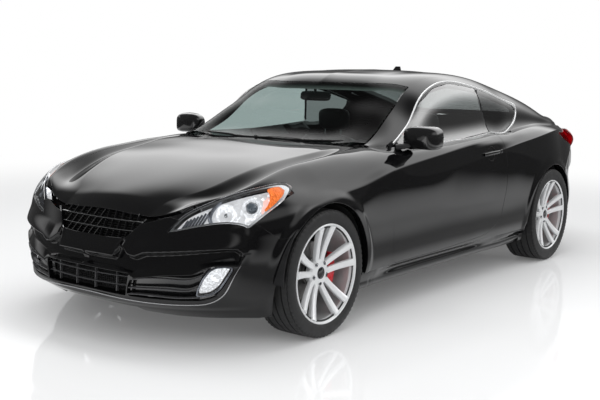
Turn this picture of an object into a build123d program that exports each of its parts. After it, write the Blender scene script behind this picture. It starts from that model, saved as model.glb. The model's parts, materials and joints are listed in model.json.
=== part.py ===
from build123d import *
import math
import os

# Coupe car. Millimetres, +X forward, +Y to the car's left, +Z up, origin on the ground
# under the middle of the car. Left-hand pieces are modelled and mirrored.

# ---------------------------------------------------------------- driving dimensions
WHEELBASE = 2820.0
FRONT_AXLE_X = 1485.0
REAR_AXLE_X = FRONT_AXLE_X - WHEELBASE
HALF_WIDTH = 932.5          # widest, over the rear arches
FRONT_WHEEL_INSET = 137.5   # widest point to the middle plane of the wheel
REAR_WHEEL_INSET = 132.5

FRONT_TYRE_RADIUS = 331.0
REAR_TYRE_RADIUS = 339.0
FRONT_TYRE_WIDTH = 225.0
REAR_TYRE_WIDTH = 245.0
FRONT_WHEEL_Y = HALF_WIDTH - FRONT_WHEEL_INSET
REAR_WHEEL_Y = HALF_WIDTH - REAR_WHEEL_INSET
RIM_RADIUS = 258.0          # over the flange
BARREL_WALL = 14.0
ARCH_GAP = 37.0             # tyre to arch lip
DISC_RADIUS = 155.0
DISC_THICKNESS = 28.0
HUB_BORE = 30.0
BEARING_GAP = 0.5           # spindle to hub bore

PANEL = 14.0                # outer panel wall
WALL = 60.0                 # body side, skin and inner panel
DOOR_WALL = 90.0            # whole door, skin to trim
LID_WALL = 22.0             # hood and boot lid
GLASS = 6.0
SHUT_GAP = 6.0              # between a moving panel and what surrounds it
SEAM = 1.0                  # between fixed panels
REST_GAP = 0.3              # closed door or lid to its hinge bracket, buffer or latch

FLOOR_Z = 195.0
FLOOR_WALL = 25.0
SILL_Z, LOW_Z, MID_Z = 190.0, 330.0, 520.0

# The tables and outlines below are drawn for this wheelbase and half-width, and fitted to the
# driving ones: lengths stretch between the axles, widths stretch evenly.
DRAWN_WHEELBASE, DRAWN_HALF_WIDTH = 2820.0, 932.5


def along(x):
    """Position along the car of a drawn one."""
    if x >= FRONT_AXLE_X:
        return x
    behind = min(FRONT_AXLE_X - x, DRAWN_WHEELBASE)
    overhang = FRONT_AXLE_X - x - behind
    return FRONT_AXLE_X - behind * WHEELBASE / DRAWN_WHEELBASE - overhang


def across(y):
    """Position across the car of a drawn one."""
    return y * HALF_WIDTH / DRAWN_HALF_WIDTH


def fitted(rows, x_columns, y_columns=()):
    """Rows with their drawn lengths and widths fitted to the driving ones."""
    moves = {**{i: along for i in x_columns}, **{i: across for i in y_columns}}
    return tuple(tuple(moves[i](v) if i in moves else v for i, v in enumerate(row)) for row in rows)


# ---------------------------------------------------------------- body tables
# Body side by station: x, half-widths at the sill, low and mid heights, then (y, z) of the
# waist, the shoulder and the crest.
BODY_SIDE = fitted((
    (2010, 700, 772, 797, 752, 610, 700, 680, 640, 724),
    (1855, 800, 862, 877, 852, 650, 790, 780, 690, 815),
    (1485, 872, 915, 925, 922, 700, 850, 815, 705, 880),
    (1150, 862, 900, 905, 904, 690, 868, 850, 702, 913),
    (860, 845, 884, 894, 896, 700, 868, 865, 712, 930),
    (700, 842, 882, 892, 894, 715, 864, 872, 768, 928),
    (0, 838, 880, 893, 890, 795, 862, 885, 797, 940),
    (-600, 842, 884, 896, 895, 866, 860, 915, 785, 972),
    (-1000, 850, 892, 910, 908, 900, 862, 945, 770, 985),
    (-1335, 866, 908, 930, 905, 935, 850, 965, 750, 1000),
    (-1750, 790, 855, 880, 820, 920, 780, 950, 725, 980),
    (-2000, 690, 770, 800, 745, 905, 715, 935, 680, 965),
    (-2200, 560, 600, 620, 600, 905, 590, 930, 575, 960),
), (0,), (1, 2, 3, 4, 6, 8))
# Upper body by station: x, (y, z) of the window line, (y, z) of the roof edge, roof centre z.
UPPER_SIDE = fitted((
    (832, 745, 930, 690, 942, 960),
    (660, 770, 932, 662, 1026, 1060),
    (460, 730, 1045, 628, 1138, 1200),
    (290, 700, 1180, 602, 1240, 1318),
    (110, 680, 1262, 592, 1306, 1352),
    (-140, 670, 1298, 590, 1334, 1372),
    (-460, 670, 1283, 592, 1326, 1372),
    (-880, 690, 1197, 604, 1264, 1313),
    (-1335, 715, 1085, 622, 1165, 1210),
    (-1750, 690, 1005, 640, 1046, 1068),
    (-2000, 665, 985, 645, 1012, 1036),
    (-2200, 560, 975, 545, 998, 1020),
    (-2300, 550, 962, 535, 985, 1006),
), (0,), (1, 3))
# Front plan curves by height: z, reach ahead of the axle, half-width, fullness.
FRONT_PLAN = fitted((
    (190, 735, 872, 2.4),
    (262, 825, 900, 2.3),
    (330, 830, 915, 2.35),
    (450, 800, 922, 2.6),
    (560, 745, 925, 2.8),
    (650, 705, 918, 2.9),
    (730, 677, 905, 2.6),
    (815, 610, 870, 2.5),
), (), (2,))
# Rear plan curves by height: z, reach behind the axle, half-width, fullness.
REAR_PLAN = fitted((
    (190, 880, 870, 2.6),
    (300, 965, 908, 2.7),
    (480, 980, 928, 2.8),
    (640, 968, 930, 2.7),
    (800, 950, 915, 2.5),
    (975, 945, 840, 2.6),
), (), (2,))
# Hood by station: x, (y, z) of the side edge, (y, z) of the crease, centre z.
HOOD = fitted((
    (830, 760, 930, 640, 932, 926),
    (1150, 760, 905, 590, 924, 932),
    (1485, 760, 870, 505, 868, 888),
    (1855, 740, 812, 396, 768, 802),
    (2050, 700, 712, 345, 702, 738),
    (2200, 640, 600, 300, 622, 645),
), (0,), (1, 3))


def plan_y(reach, half, fullness, ahead):
    """Half-width of a plan curve at a distance ahead of its axle."""
    share = min(1.0, max(0.0, ahead / reach))
    return half * (1 - share ** fullness) ** (1 / fullness)


def between(table, x, first, last):
    """Columns first..last of a station table at x, straight between its rows."""
    rows = sorted(table)
    for low, high in zip(rows, rows[1:]):
        if x <= high[0]:
            break
    t = (x - low[0]) / (high[0] - low[0])
    return [a + (b - a) * t for a, b in zip(low[first:last], high[first:last])]


def side_line(x):
    """Outer body side at x as (y, z) points from the sill to the crest."""
    sill, low, mid, wy, wz, sy, sz, cy, cz = between(BODY_SIDE, x, 1, 10)
    return [(sill, SILL_Z), (low, LOW_Z), (mid, MID_Z), (wy, wz), (sy, sz), (cy, cz)]


def upper_line(x):
    """Window line and roof edge at x as (y, z) points."""
    wy, wz, ry, rz = between(UPPER_SIDE, x, 1, 5)
    return [(wy, wz), (ry, rz)]


def inset(points, wall):
    """An open line moved inward by wall, with mitred corners."""
    normals = []
    for (y0, z0), (y1, z1) in zip(points, points[1:]):
        run = math.hypot(y1 - y0, z1 - z0)
        normals.append((-(z1 - z0) / run, (y1 - y0) / run))
    moved = []
    for i, (y, z) in enumerate(points):
        a = normals[max(0, i - 1)]
        b = normals[min(len(normals) - 1, i)]
        share = 1 + a[0] * b[0] + a[1] * b[1]
        moved.append((y + wall * (a[0] + b[0]) / share, z + wall * (a[1] + b[1]) / share))
    return moved


def wall_outline(points, wall):
    """Closed outline of an open line given a wall on its inner side."""
    return list(points) + inset(points, wall)[::-1]


def stations(table, front, rear):
    """Station positions of a table between two drawn ends, with the ends themselves."""
    front, rear = along(front), along(rear)
    inner = [row[0] for row in table if rear < row[0] < front]
    return [front] + sorted(inner, reverse=True) + [rear]


# Door and side glass by station: x, half-width of the glass at the belt.
GLASS_FOOT = fitted(((700, 768), (0, 790), (-600, 782), (-1000, 768)), (0,), (1,))
GLASS_BOTTOM_Z, GLASS_TOP_Z, BELT_Z = 870.0, 1310.0, 940.0
GLASS_LEAN = 0.354          # inward for each millimetre up
# Windscreen by half-width: y, (x, z) of the foot, (x, z) of the top.
WINDSCREEN = fitted((
    (0, 935, 930, 335, 1316), (400, 912, 931, 300, 1300), (600, 862, 934, 232, 1262),
    (700, 822, 936, 190, 1250),
), (0,))
# Rear window by half-width: y, (x, z) of the top, the middle and the foot.
REAR_WINDOW = fitted((
    (0, -640, 1345, -1230, 1232, -1765, 1062),
    (400, -650, 1334, -1225, 1222, -1755, 1056),
    (660, -690, 1290, -1210, 1180, -1740, 1036),
), (1, 3, 5), (0,))

# ---------------------------------------------------------------- outlines
# Side view (x, z).
DOOR_OUTLINE = fitted((
    (716, 932), (800, 880), (848, 823), (848, 610), (816, 417), (800, 300), (770, 283),
    (293, 284), (-329, 305), (-466, 345), (-545, 420), (-592, 608), (-588, 751), (-566, 850), (-520, 980),
    (0, 946), (640, 938),
), (0,))
DOOR_GLASS_OUTLINE = fitted((
    (655, 900), (655, 926), (560, 985), (440, 1052), (272, 1176), (92, 1250), (-148, 1284),
    (-452, 1268), (-520, 972), (-510, 900),
), (0,))
QUARTER_GLASS_OUTLINE = fitted((
    (-470, 1268), (-575, 1258), (-880, 1188), (-950, 1110), (-905, 1003), (-690, 985), (-535, 988),
), (0,))
FENDER_OUTLINE = fitted((
    (1967, 640), (1990, 1000), (716, 1000), (716, 925), (800, 880), (848, 823), (848, 610), (816, 417),
    (800, 300), (800, 278), (1140, 278), (1485, 326), (1620, 561), (1967, 561),
), (0,))
FRONT_BUMPER_OUTLINE = fitted((
    (1700, 180), (2400, 180), (2400, 640), (1968, 640), (1968, 559), (1851, 559), (1700, 559),
), (0,))
REAR_BUMPER_OUTLINE = fitted((
    (-1600, 180), (-2400, 180), (-2400, 800), (-1905, 800), (-1860, 690), (-1600, 640),
), (0,))
TAIL_LAMP_OUTLINE = fitted((
    (-1790, 915), (-1905, 812), (-2400, 801), (-2400, 905), (-2000, 930), (-1810, 935),
), (0,))
# Front view (y, z).
HEADLAMP_OUTLINE = fitted((
    (432, 571), (516, 667), (620, 727), (700, 775), (800, 812), (852, 806), (858, 770), (815, 680),
    (776, 620), (640, 590),
), (), (0,))
FOG_OUTLINE = fitted(((530, 262), (640, 278), (745, 365), (775, 430), (670, 415), (590, 355)), (), (0,))
UPPER_GRILLE_OUTLINE = fitted(((305, 628), (206, 445), (-206, 445), (-305, 628)), (), (0,))
LOWER_GRILLE_OUTLINE = fitted(((322, 372), (300, 262), (-300, 262), (-322, 372)), (), (0,))
LID_FACE_OUTLINE = fitted((
    (560, 1000), (560, 800), (400, 800), (385, 700), (-385, 700), (-400, 800), (-560, 800),
    (-560, 1000),
), (0,))
HEADLAMP_REAR_X, HEADLAMP_DEPTH = 1745.0, 90.0
BUMPER_REAR_X = 1740.0
REACH = 1400.0              # longer than any cut through the car


def keep_or_cut(points, plane, mode, amount=REACH, both=True, grow=0.0):
    """Keeps or removes what lies inside an outline carried through the active part."""
    with BuildSketch(plane, mode=Mode.PRIVATE) as face:
        with BuildLine():
            Polyline(*points, close=True)
        make_face()
        if grow:
            offset(amount=grow, kind=Kind.INTERSECTION)
    extrude(face.sketch, amount=amount, both=both, mode=mode)


def arch(axle_x, tyre_radius):
    """Removes the round of a wheel arch from the active part."""
    with BuildSketch(Plane.XZ, mode=Mode.PRIVATE) as face:
        with Locations((axle_x, tyre_radius)):
            Circle(tyre_radius + ARCH_GAP)
    extrude(face.sketch, amount=REACH, both=True, mode=Mode.SUBTRACT)


def side_loft(line, positions, wall):
    """Left-hand wall between stations, straight from one to the next, in the active part."""
    faces = []
    for x in positions:
        with BuildSketch(Plane.YZ.offset(x), mode=Mode.PRIVATE) as face:
            with BuildLine():
                Polyline(*wall_outline(line(x), wall), close=True)
            make_face()
        faces.append(face.sketch)
    loft(faces, ruled=True)


def plan_points(axle_x, ahead_sign, reach, half, fullness, end):
    """Plan curve of the nose or tail: its side ends, its quarter points, its corners and its middle."""
    half_curve = [(end, plan_y(reach, half, fullness, end))]
    for share in (0.86, 0.62, 0.3, 0.0):
        half_curve.append((reach * (1 - share ** fullness) ** (1 / fullness), share * half))
    full = half_curve + [(a, -y) for a, y in half_curve[-2::-1]]
    return [(axle_x + ahead_sign * a, y) for a, y in full]


def plan_loft(table, axle_x, ahead_sign, end, wall):
    """Nose or tail wall lofted upward through its plan curves, in the active part."""
    faces = []
    for z, reach, half, fullness in table:
        outer = plan_points(axle_x, ahead_sign, reach, half, fullness, end)
        inner = plan_points(axle_x, ahead_sign, reach - wall, half - wall, fullness, end)
        with BuildSketch(Plane.XY.offset(z), mode=Mode.PRIVATE) as face:
            with BuildLine():
                Polyline(*(outer + inner[::-1]), close=True)
            make_face()
        faces.append(face.sketch)
    loft(faces, ruled=True)


def full_line(x):
    """Body side and upper body at x in one line from the sill to the roof edge."""
    return side_line(x) + upper_line(x)


def crown(edge_y, edge_z, centre_z, wall_share=0.55, rise=0.8):
    """Line across the car from its left edge to its right one."""
    quarter = (edge_y * wall_share, edge_z + rise * (centre_z - edge_z))
    left = [(edge_y, edge_z), quarter, (0, centre_z)]
    return left + [(-y, z) for y, z in left[-2::-1]]


def top_line(x, grow=14.0):
    """Roof or deck line across the car at x, a little past the roof edges."""
    edge_y, edge_z, centre_z = between(UPPER_SIDE, x, 3, 6)
    return crown(edge_y + grow, edge_z - 4, centre_z)


def hood_line(x):
    """Hood line across the car at x."""
    ey, ez, cy, cz, z0 = between(HOOD, x, 1, 6)
    left = [(ey, ez), (cy, cz), (0, z0)]
    return left + [(-y, z) for y, z in left[-2::-1]]


def block(x0, x1, y0, y1, z0, z1, mode=Mode.ADD):
    """Plain block between its faces, in the active part."""
    with Locations(((x0 + x1) / 2, (y0 + y1) / 2, (z0 + z1) / 2)):
        Box(abs(x1 - x0), abs(y1 - y0), abs(z1 - z0), mode=mode)


def blocks_both_sides(x0, x1, y0, y1, z0, z1):
    """The same block on the left and on the right."""
    block(x0, x1, y0, y1, z0, z1)
    block(x0, x1, -y1, -y0, z0, z1)


def body_block(x0, x1, y0, y1, z0, z1, mode=Mode.ADD):
    """Block between drawn faces of the body, in the active part."""
    block(along(x0), along(x1), across(y0), across(y1), z0, z1, mode)


def body_blocks(x0, x1, y0, y1, z0, z1):
    """The same drawn block on the left and on the right."""
    body_block(x0, x1, y0, y1, z0, z1)
    body_block(x0, x1, -y1, -y0, z0, z1)


def write(part, name):
    """Labels a finished piece and writes it."""
    part.label = name
    export_step(part, f"parts/{name}.step")


def write_pair(part, name):
    """Writes a left-hand piece and its mirror image."""
    write(part, f"left_{name}")
    write(mirror(part, about=Plane.XZ, mode=Mode.PRIVATE), f"right_{name}")


os.makedirs("parts", exist_ok=True)
ON_FACE = (Align.CENTER, Align.CENTER, Align.MIN)
FRONT_VIEW = Plane.YZ
REAR_VIEW = Plane.YZ.offset(along(-1700))

# ---------------------------------------------------------------- wings
with BuildPart() as fender:
    side_loft(side_line, stations(BODY_SIDE, 1990, 700), PANEL)
    keep_or_cut(FENDER_OUTLINE, Plane.XZ, Mode.INTERSECT)
    keep_or_cut(DOOR_OUTLINE, Plane.XZ, Mode.SUBTRACT, grow=SHUT_GAP)
    keep_or_cut(HEADLAMP_OUTLINE, FRONT_VIEW.offset(HEADLAMP_REAR_X), Mode.SUBTRACT, 700, False, SEAM)
    arch(FRONT_AXLE_X, FRONT_TYRE_RADIUS)
write_pair(fender.part, "fender")

# ---------------------------------------------------------------- hood
HOOD_EDGE = fitted(((2112, 472), (2000, 622), (1855, 672), (872, 684)), (0,), (1,))
HOOD_FRONT_ARC = (HOOD_EDGE[0], (2168, 0), (HOOD_EDGE[0][0], -HOOD_EDGE[0][1]))
HOOD_REAR_ARC = ((HOOD_EDGE[-1][0], -HOOD_EDGE[-1][1]), (along(970), 0), HOOD_EDGE[-1])
with BuildPart() as hood:
    side_loft(hood_line, stations(HOOD, 2200, 840), LID_WALL)
    with BuildSketch(Plane.XY):
        with BuildLine():
            ThreePointArc(*HOOD_FRONT_ARC)
            Polyline(*[(x, -y) for x, y in HOOD_EDGE])
            ThreePointArc(*HOOD_REAR_ARC)
            Polyline(*HOOD_EDGE[::-1])
        make_face()
    extrude(amount=REACH, mode=Mode.INTERSECT)
    keep_or_cut(HEADLAMP_OUTLINE, FRONT_VIEW.offset(1600), Mode.SUBTRACT, 800, False, SHUT_GAP)
    right_headlamp = [(-y, z) for y, z in HEADLAMP_OUTLINE]
    keep_or_cut(right_headlamp, FRONT_VIEW.offset(1600), Mode.SUBTRACT, 800, False, SHUT_GAP)
write(hood.part, "hood")

# ---------------------------------------------------------------- front bumper, lamps and grilles
with BuildPart() as headlamps:
    plan_loft(FRONT_PLAN, FRONT_AXLE_X, 1, HEADLAMP_REAR_X - FRONT_AXLE_X, HEADLAMP_DEPTH)
    with BuildSketch(FRONT_VIEW.offset(HEADLAMP_REAR_X)):
        with BuildLine():
            Polyline(*HEADLAMP_OUTLINE, close=True)
        make_face()
        mirror(about=Plane.YZ)
    extrude(amount=700, mode=Mode.INTERSECT)
write(headlamps.part, "headlamps")

# ---------------------------------------------------------------- front bumper
with BuildPart() as front_bumper:
    plan_loft(FRONT_PLAN, FRONT_AXLE_X, 1, BUMPER_REAR_X - FRONT_AXLE_X, PANEL)
    keep_or_cut(FRONT_BUMPER_OUTLINE, Plane.XZ, Mode.INTERSECT)
    arch(FRONT_AXLE_X, FRONT_TYRE_RADIUS)
    for side in (1, -1):
        for outline in (HEADLAMP_OUTLINE, FOG_OUTLINE):
            mirrored = [(side * y, z) for y, z in outline]
            keep_or_cut(mirrored, FRONT_VIEW.offset(HEADLAMP_REAR_X), Mode.SUBTRACT, 700, False)
    for outline in (UPPER_GRILLE_OUTLINE, LOWER_GRILLE_OUTLINE):
        keep_or_cut(outline, FRONT_VIEW.offset(HEADLAMP_REAR_X), Mode.SUBTRACT, 700, False)
write(front_bumper.part, "front_bumper")


def grille(outline, rows, columns, slot):
    """Barred panel that fills an opening of the nose, with a grid of slots."""
    middle = sum(z for _, z in outline) / len(outline)
    pitch_y = 2 * max(y for y, _ in outline) / columns
    pitch_z = (max(z for _, z in outline) - min(z for _, z in outline)) / rows
    with BuildPart() as panel:
        plan_loft(FRONT_PLAN, FRONT_AXLE_X, 1, BUMPER_REAR_X - FRONT_AXLE_X, PANEL)
        keep_or_cut(outline, FRONT_VIEW.offset(HEADLAMP_REAR_X), Mode.INTERSECT, 700, False)
        with BuildSketch(FRONT_VIEW.offset(HEADLAMP_REAR_X)):
            with Locations((0, middle)):
                with GridLocations(pitch_y, pitch_z, columns - 1, rows):
                    Rectangle(pitch_y - slot, pitch_z - slot)
        extrude(amount=700, mode=Mode.SUBTRACT)
    return panel.part


write(grille(UPPER_GRILLE_OUTLINE, 3, 9, 14), "upper_grille")
write(grille(LOWER_GRILLE_OUTLINE, 2, 9, 14), "lower_grille")

with BuildPart() as fog_lamps:
    plan_loft(FRONT_PLAN, FRONT_AXLE_X, 1, BUMPER_REAR_X - FRONT_AXLE_X, 3 * PANEL)
    with BuildSketch(FRONT_VIEW.offset(HEADLAMP_REAR_X)):
        with BuildLine():
            Polyline(*FOG_OUTLINE, close=True)
        make_face()
        mirror(about=Plane.YZ)
    extrude(amount=700, mode=Mode.INTERSECT)
write(fog_lamps.part, "fog_lamps")


# ---------------------------------------------------------------- doors and side glass
def glass_line(x):
    """Side glass at x, from inside the door up to the roof rail."""
    foot, = between(GLASS_FOOT, x, 1, 2)
    return [(foot - GLASS_LEAN * (z - BELT_Z), z) for z in (GLASS_BOTTOM_Z, GLASS_TOP_Z)]


with BuildPart() as door_glass:
    side_loft(glass_line, stations(GLASS_FOOT, 700, -900), GLASS)
    keep_or_cut(DOOR_GLASS_OUTLINE, Plane.XZ, Mode.INTERSECT)
write_pair(door_glass.part, "door_glass")

with BuildPart() as quarter_windows:
    side_loft(glass_line, stations(GLASS_FOOT, -400, -1000), GLASS)
    keep_or_cut(QUARTER_GLASS_OUTLINE, Plane.XZ, Mode.INTERSECT)
    mirror(about=Plane.XZ)
write(quarter_windows.part, "quarter_windows")

with BuildPart() as door:
    side_loft(side_line, stations(BODY_SIDE, 855, -610), DOOR_WALL)
    keep_or_cut(DOOR_OUTLINE, Plane.XZ, Mode.INTERSECT)
    add(door_glass.part, mode=Mode.SUBTRACT)
write_pair(door.part, "door")

# Handle: a bar on two feet that stand on the door skin.
HANDLE_X, HANDLE_Z, HANDLE_LENGTH, HANDLE_HEIGHT = along(-350), 845.0, 230.0, 26.0
HANDLE_SKIN_Y, HANDLE_STANDOFF = across(870), 34.0
with BuildPart() as door_handle:
    with BuildSketch(Plane.XZ.offset(-HANDLE_SKIN_Y)):
        with Locations((HANDLE_X, HANDLE_Z)):
            SlotOverall(HANDLE_LENGTH, HANDLE_HEIGHT)
    extrude(amount=-HANDLE_STANDOFF)
    add(door.part, mode=Mode.SUBTRACT)
write_pair(door_handle.part.solids().sort_by(Axis.Y)[-1], "door_handle")

# Mirror: a rounded housing on a foot that stands on the door's top corner.
MIRROR_X, MIRROR_Z = along(560), 1000.0
MIRROR_LENGTH, MIRROR_WIDTH, MIRROR_HEIGHT = 105.0, 190.0, 112.0
MIRROR_FOOT = fitted(((850, 985), (850, 955), (800, 900), (770, 900), (770, 935), (820, 985)), (), (0,))
with BuildPart() as door_mirror:
    with BuildSketch(Plane.YZ.offset(MIRROR_X)):
        with Locations((across(930), MIRROR_Z)):
            RectangleRounded(MIRROR_WIDTH, MIRROR_HEIGHT, 40)
    extrude(amount=MIRROR_LENGTH)
    fillet(door_mirror.edges().filter_by(GeomType.LINE).group_by(Axis.X)[-1], 14)
    with BuildSketch(Plane.YZ.offset(MIRROR_X + 20)):
        with BuildLine():
            Polyline(*MIRROR_FOOT, close=True)
        make_face()
    extrude(amount=70)
    add(door.part, mode=Mode.SUBTRACT)
    add(door_glass.part, mode=Mode.SUBTRACT)
write_pair(door_mirror.part.solids().sort_by(SortBy.VOLUME)[-1], "door_mirror")

# ---------------------------------------------------------------- body sides
PILLAR_WALL, SIDE_WALL = 40.0, 45.0
# Hinge pillar inside the front edge of the door.
PILLAR_REAR_X, PILLAR_FRONT_X = 790.0, 850.0
PILLAR_INNER_Y, PILLAR_TOP_Z = 710.0, 660.0
PILLAR_OUTER_Y = 880.0 - DOOR_WALL      # just inside the door
PILLAR_WAIST_Y = 860.0 - DOOR_WALL      # the same, where the door curves in above the sill
PILLAR_WAIST_Z = (276.0, 350.0)
HINGE_BRACKETS_Z = ((380.0, 420.0), (560.0, 600.0))
QUARTER_PANEL_OUTLINE = fitted(((-500, 0), (-500, 2000), (-2180, 2000), (-2180, 0)), (0,))
SILL_TOP_OUTLINE = fitted(((1135, 165), (1108, 220), (1090, 276), (-900, 276), (-950, 165)), (0,))
with BuildPart() as sill:
    side_loft(side_line, stations(BODY_SIDE, 1135, -560), WALL)
    keep_or_cut(SILL_TOP_OUTLINE, Plane.XZ, Mode.INTERSECT)

with BuildPart() as body_side:
    side_loft(full_line, stations(BODY_SIDE, -500, -2180), SIDE_WALL)
    keep_or_cut(QUARTER_PANEL_OUTLINE, Plane.XZ, Mode.INTERSECT)
    side_loft(upper_line, stations(UPPER_SIDE, 830, -500), PILLAR_WALL)
    keep_or_cut(REAR_BUMPER_OUTLINE, Plane.XZ, Mode.SUBTRACT)
    keep_or_cut(TAIL_LAMP_OUTLINE, Plane.XZ, Mode.SUBTRACT)
    add(sill.part)
    add(fender.part, mode=Mode.SUBTRACT)
    keep_or_cut(LID_FACE_OUTLINE, REAR_VIEW, Mode.SUBTRACT, -900, False, SHUT_GAP)
    keep_or_cut(DOOR_OUTLINE, Plane.XZ, Mode.SUBTRACT, grow=SHUT_GAP)
    keep_or_cut(DOOR_GLASS_OUTLINE, Plane.XZ, Mode.SUBTRACT, grow=SHUT_GAP)
    keep_or_cut(QUARTER_GLASS_OUTLINE, Plane.XZ, Mode.SUBTRACT)
    body_block(PILLAR_REAR_X, PILLAR_FRONT_X, PILLAR_INNER_Y, PILLAR_OUTER_Y, SILL_Z, PILLAR_WAIST_Z[0])
    body_block(PILLAR_REAR_X, PILLAR_FRONT_X, PILLAR_INNER_Y, PILLAR_WAIST_Y, *PILLAR_WAIST_Z)
    body_block(PILLAR_REAR_X, PILLAR_FRONT_X, PILLAR_INNER_Y, PILLAR_OUTER_Y, PILLAR_WAIST_Z[1], PILLAR_TOP_Z)
    for bottom, top in HINGE_BRACKETS_Z:
        body_block(
            PILLAR_REAR_X + 10, PILLAR_FRONT_X - 10, PILLAR_OUTER_Y - 20, PILLAR_OUTER_Y + 40, bottom, top
        )
    add(door.part.moved(Location((0, -REST_GAP, 0))), mode=Mode.SUBTRACT)
    arch(REAR_AXLE_X, REAR_TYRE_RADIUS)
right_body_side = mirror(body_side.part, about=Plane.XZ, mode=Mode.PRIVATE)
write_pair(body_side.part, "body_side")

# ---------------------------------------------------------------- roof, windscreen and rear window
ROOF_WALL = 30.0
ROOF_FRONT_X, ROOF_REAR_X, ROOF_HALF = along(228), along(-690), across(640)


def pane_loft(sections, wall):
    """Pane between sections given by half-width, both sides of the middle, in the active part."""
    rows = [(y, points) for y, *points in sections]
    rows = [(-y, points) for y, points in rows[:0:-1]] + rows
    faces = []
    for y, points in rows:
        line = list(zip(points[::2], points[1::2]))
        with BuildSketch(Plane.XZ.offset(-y), mode=Mode.PRIVATE) as face:
            with BuildLine():
                Polyline(*line, *[(x, z - wall) for x, z in line[::-1]], close=True)
            make_face()
        faces.append(face.sketch)
    loft(faces, ruled=True)


with BuildPart() as windscreen:
    pane_loft(WINDSCREEN, GLASS)
    add(body_side.part, mode=Mode.SUBTRACT)
    add(right_body_side, mode=Mode.SUBTRACT)
windscreen_glass = windscreen.part.solids().sort_by(SortBy.VOLUME)[-1]
write(windscreen_glass, "windscreen")

with BuildPart() as roof:
    side_loft(top_line, stations(UPPER_SIDE, 340, -660), ROOF_WALL)
    with BuildSketch(Plane.XY):
        with BuildLine():
            ThreePointArc((ROOF_FRONT_X, ROOF_HALF), (along(334), 0), (ROOF_FRONT_X, -ROOF_HALF))
            Line((ROOF_FRONT_X, -ROOF_HALF), (ROOF_REAR_X, -ROOF_HALF))
            ThreePointArc((ROOF_REAR_X, -ROOF_HALF), (along(-642), 0), (ROOF_REAR_X, ROOF_HALF))
            Line((ROOF_REAR_X, ROOF_HALF), (ROOF_FRONT_X, ROOF_HALF))
        make_face()
    extrude(amount=REACH, mode=Mode.INTERSECT)
    add(body_side.part, mode=Mode.SUBTRACT)
    add(right_body_side, mode=Mode.SUBTRACT)
    add(windscreen_glass, mode=Mode.SUBTRACT)
roof_panel = roof.part.solids().sort_by(SortBy.VOLUME)[-1]
write(roof_panel, "roof_panel")

with BuildPart() as rear_window:
    pane_loft(REAR_WINDOW, GLASS)
    add(body_side.part, mode=Mode.SUBTRACT)
    add(right_body_side, mode=Mode.SUBTRACT)
    add(roof_panel, mode=Mode.SUBTRACT)
rear_glass = rear_window.part.solids().sort_by(SortBy.VOLUME)[-1]
write(rear_glass, "rear_window")

# Fin antenna on the roof.
with BuildPart() as roof_antenna:
    with BuildSketch(Plane.XZ):
        with BuildLine():
            Polyline(*fitted(((-640, 1340), (-590, 1362), (-540, 1345)), (0,)), close=True)
        make_face()
    with BuildSketch(Plane.XZ):
        with BuildLine():
            Polyline(*fitted(((-520, 1350), (-590, 1402), (-616, 1402), (-636, 1350)), (0,)), close=True)
        make_face()
    extrude(amount=12, both=True)
    add(roof_panel, mode=Mode.SUBTRACT)
    add(rear_glass, mode=Mode.SUBTRACT)
write(roof_antenna.part.solids().sort_by(Axis.Z)[-1], "roof_antenna")

# ---------------------------------------------------------------- boot lid and tail
BOOT_LID_WALL, BOOT_EDGE = 40.0, 48.0
LID_HALF = across(558)
TAIL_START = 300.0          # behind the axle, where the tail's plan curves begin
DECK_PLAN = plan_points(REAR_AXLE_X, -1, *REAR_PLAN[-1][1:], TAIL_START)


def lid_line(x):
    """Boot lid line across the car at x."""
    return top_line(x, -BOOT_EDGE)


with BuildPart() as boot_lid:
    side_loft(lid_line, stations(UPPER_SIDE, -1778, -2300), BOOT_LID_WALL)
    with BuildSketch(Plane.XY):
        with BuildLine():
            Polyline(*DECK_PLAN, close=True)
        make_face()
    extrude(amount=REACH, mode=Mode.INTERSECT)
with BuildPart() as lid_face:
    plan_loft(REAR_PLAN, REAR_AXLE_X, -1, TAIL_START, LID_WALL)
    keep_or_cut(LID_FACE_OUTLINE, REAR_VIEW, Mode.INTERSECT, -900, False)
with BuildPart() as boot:
    add(boot_lid.part)
    add(lid_face.part)
write(boot.part, "boot_lid")

TAIL_LAMP_DEPTH, LAMP_INNER_Y = 60.0, LID_HALF + 10.0
with BuildPart() as tail_lamps:
    plan_loft(REAR_PLAN, REAR_AXLE_X, -1, TAIL_START, TAIL_LAMP_DEPTH)
    keep_or_cut(TAIL_LAMP_OUTLINE, Plane.XZ, Mode.INTERSECT)
    with BuildSketch(Plane.XY):
        with Locations((along(-2100), 0)):
            Rectangle(900, 2 * LAMP_INNER_Y)
    extrude(amount=REACH, mode=Mode.SUBTRACT)
write(tail_lamps.part, "tail_lamps")

with BuildPart() as rear_bumper:
    plan_loft(REAR_PLAN, REAR_AXLE_X, -1, TAIL_START, PANEL)
    keep_or_cut(REAR_BUMPER_OUTLINE, Plane.XZ, Mode.INTERSECT)
    keep_or_cut(LID_FACE_OUTLINE, REAR_VIEW, Mode.SUBTRACT, -900, False, SHUT_GAP)
    arch(REAR_AXLE_X, REAR_TYRE_RADIUS)
write(rear_bumper.part, "rear_bumper")

# ---------------------------------------------------------------- structure
RAIL_INNER_Y, RAIL_OUTER_Y = 330.0, 400.0
RAIL_Z, RAIL_TOP_Z = 300.0, 380.0
FIREWALL_X, FIREWALL_TOP = 800.0, 885.0
BULKHEAD_X = -960.0
BUFFER_Y = 250.0            # rubber buffers under the hood's front edge
LATCH_X = -2290.0           # latch post behind the boot lid's face
BOOT_FLOOR_Z = 400.0
TUNNEL_HALF, TUNNEL_TOP_Z = 90.0, 330.0
REAR_FLOOR_HALF = 600.0
NOSE_PANEL_X, TAIL_PANEL_X, TAIL_CORNER_X = 2060.0, -2190.0, -2120.0


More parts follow.
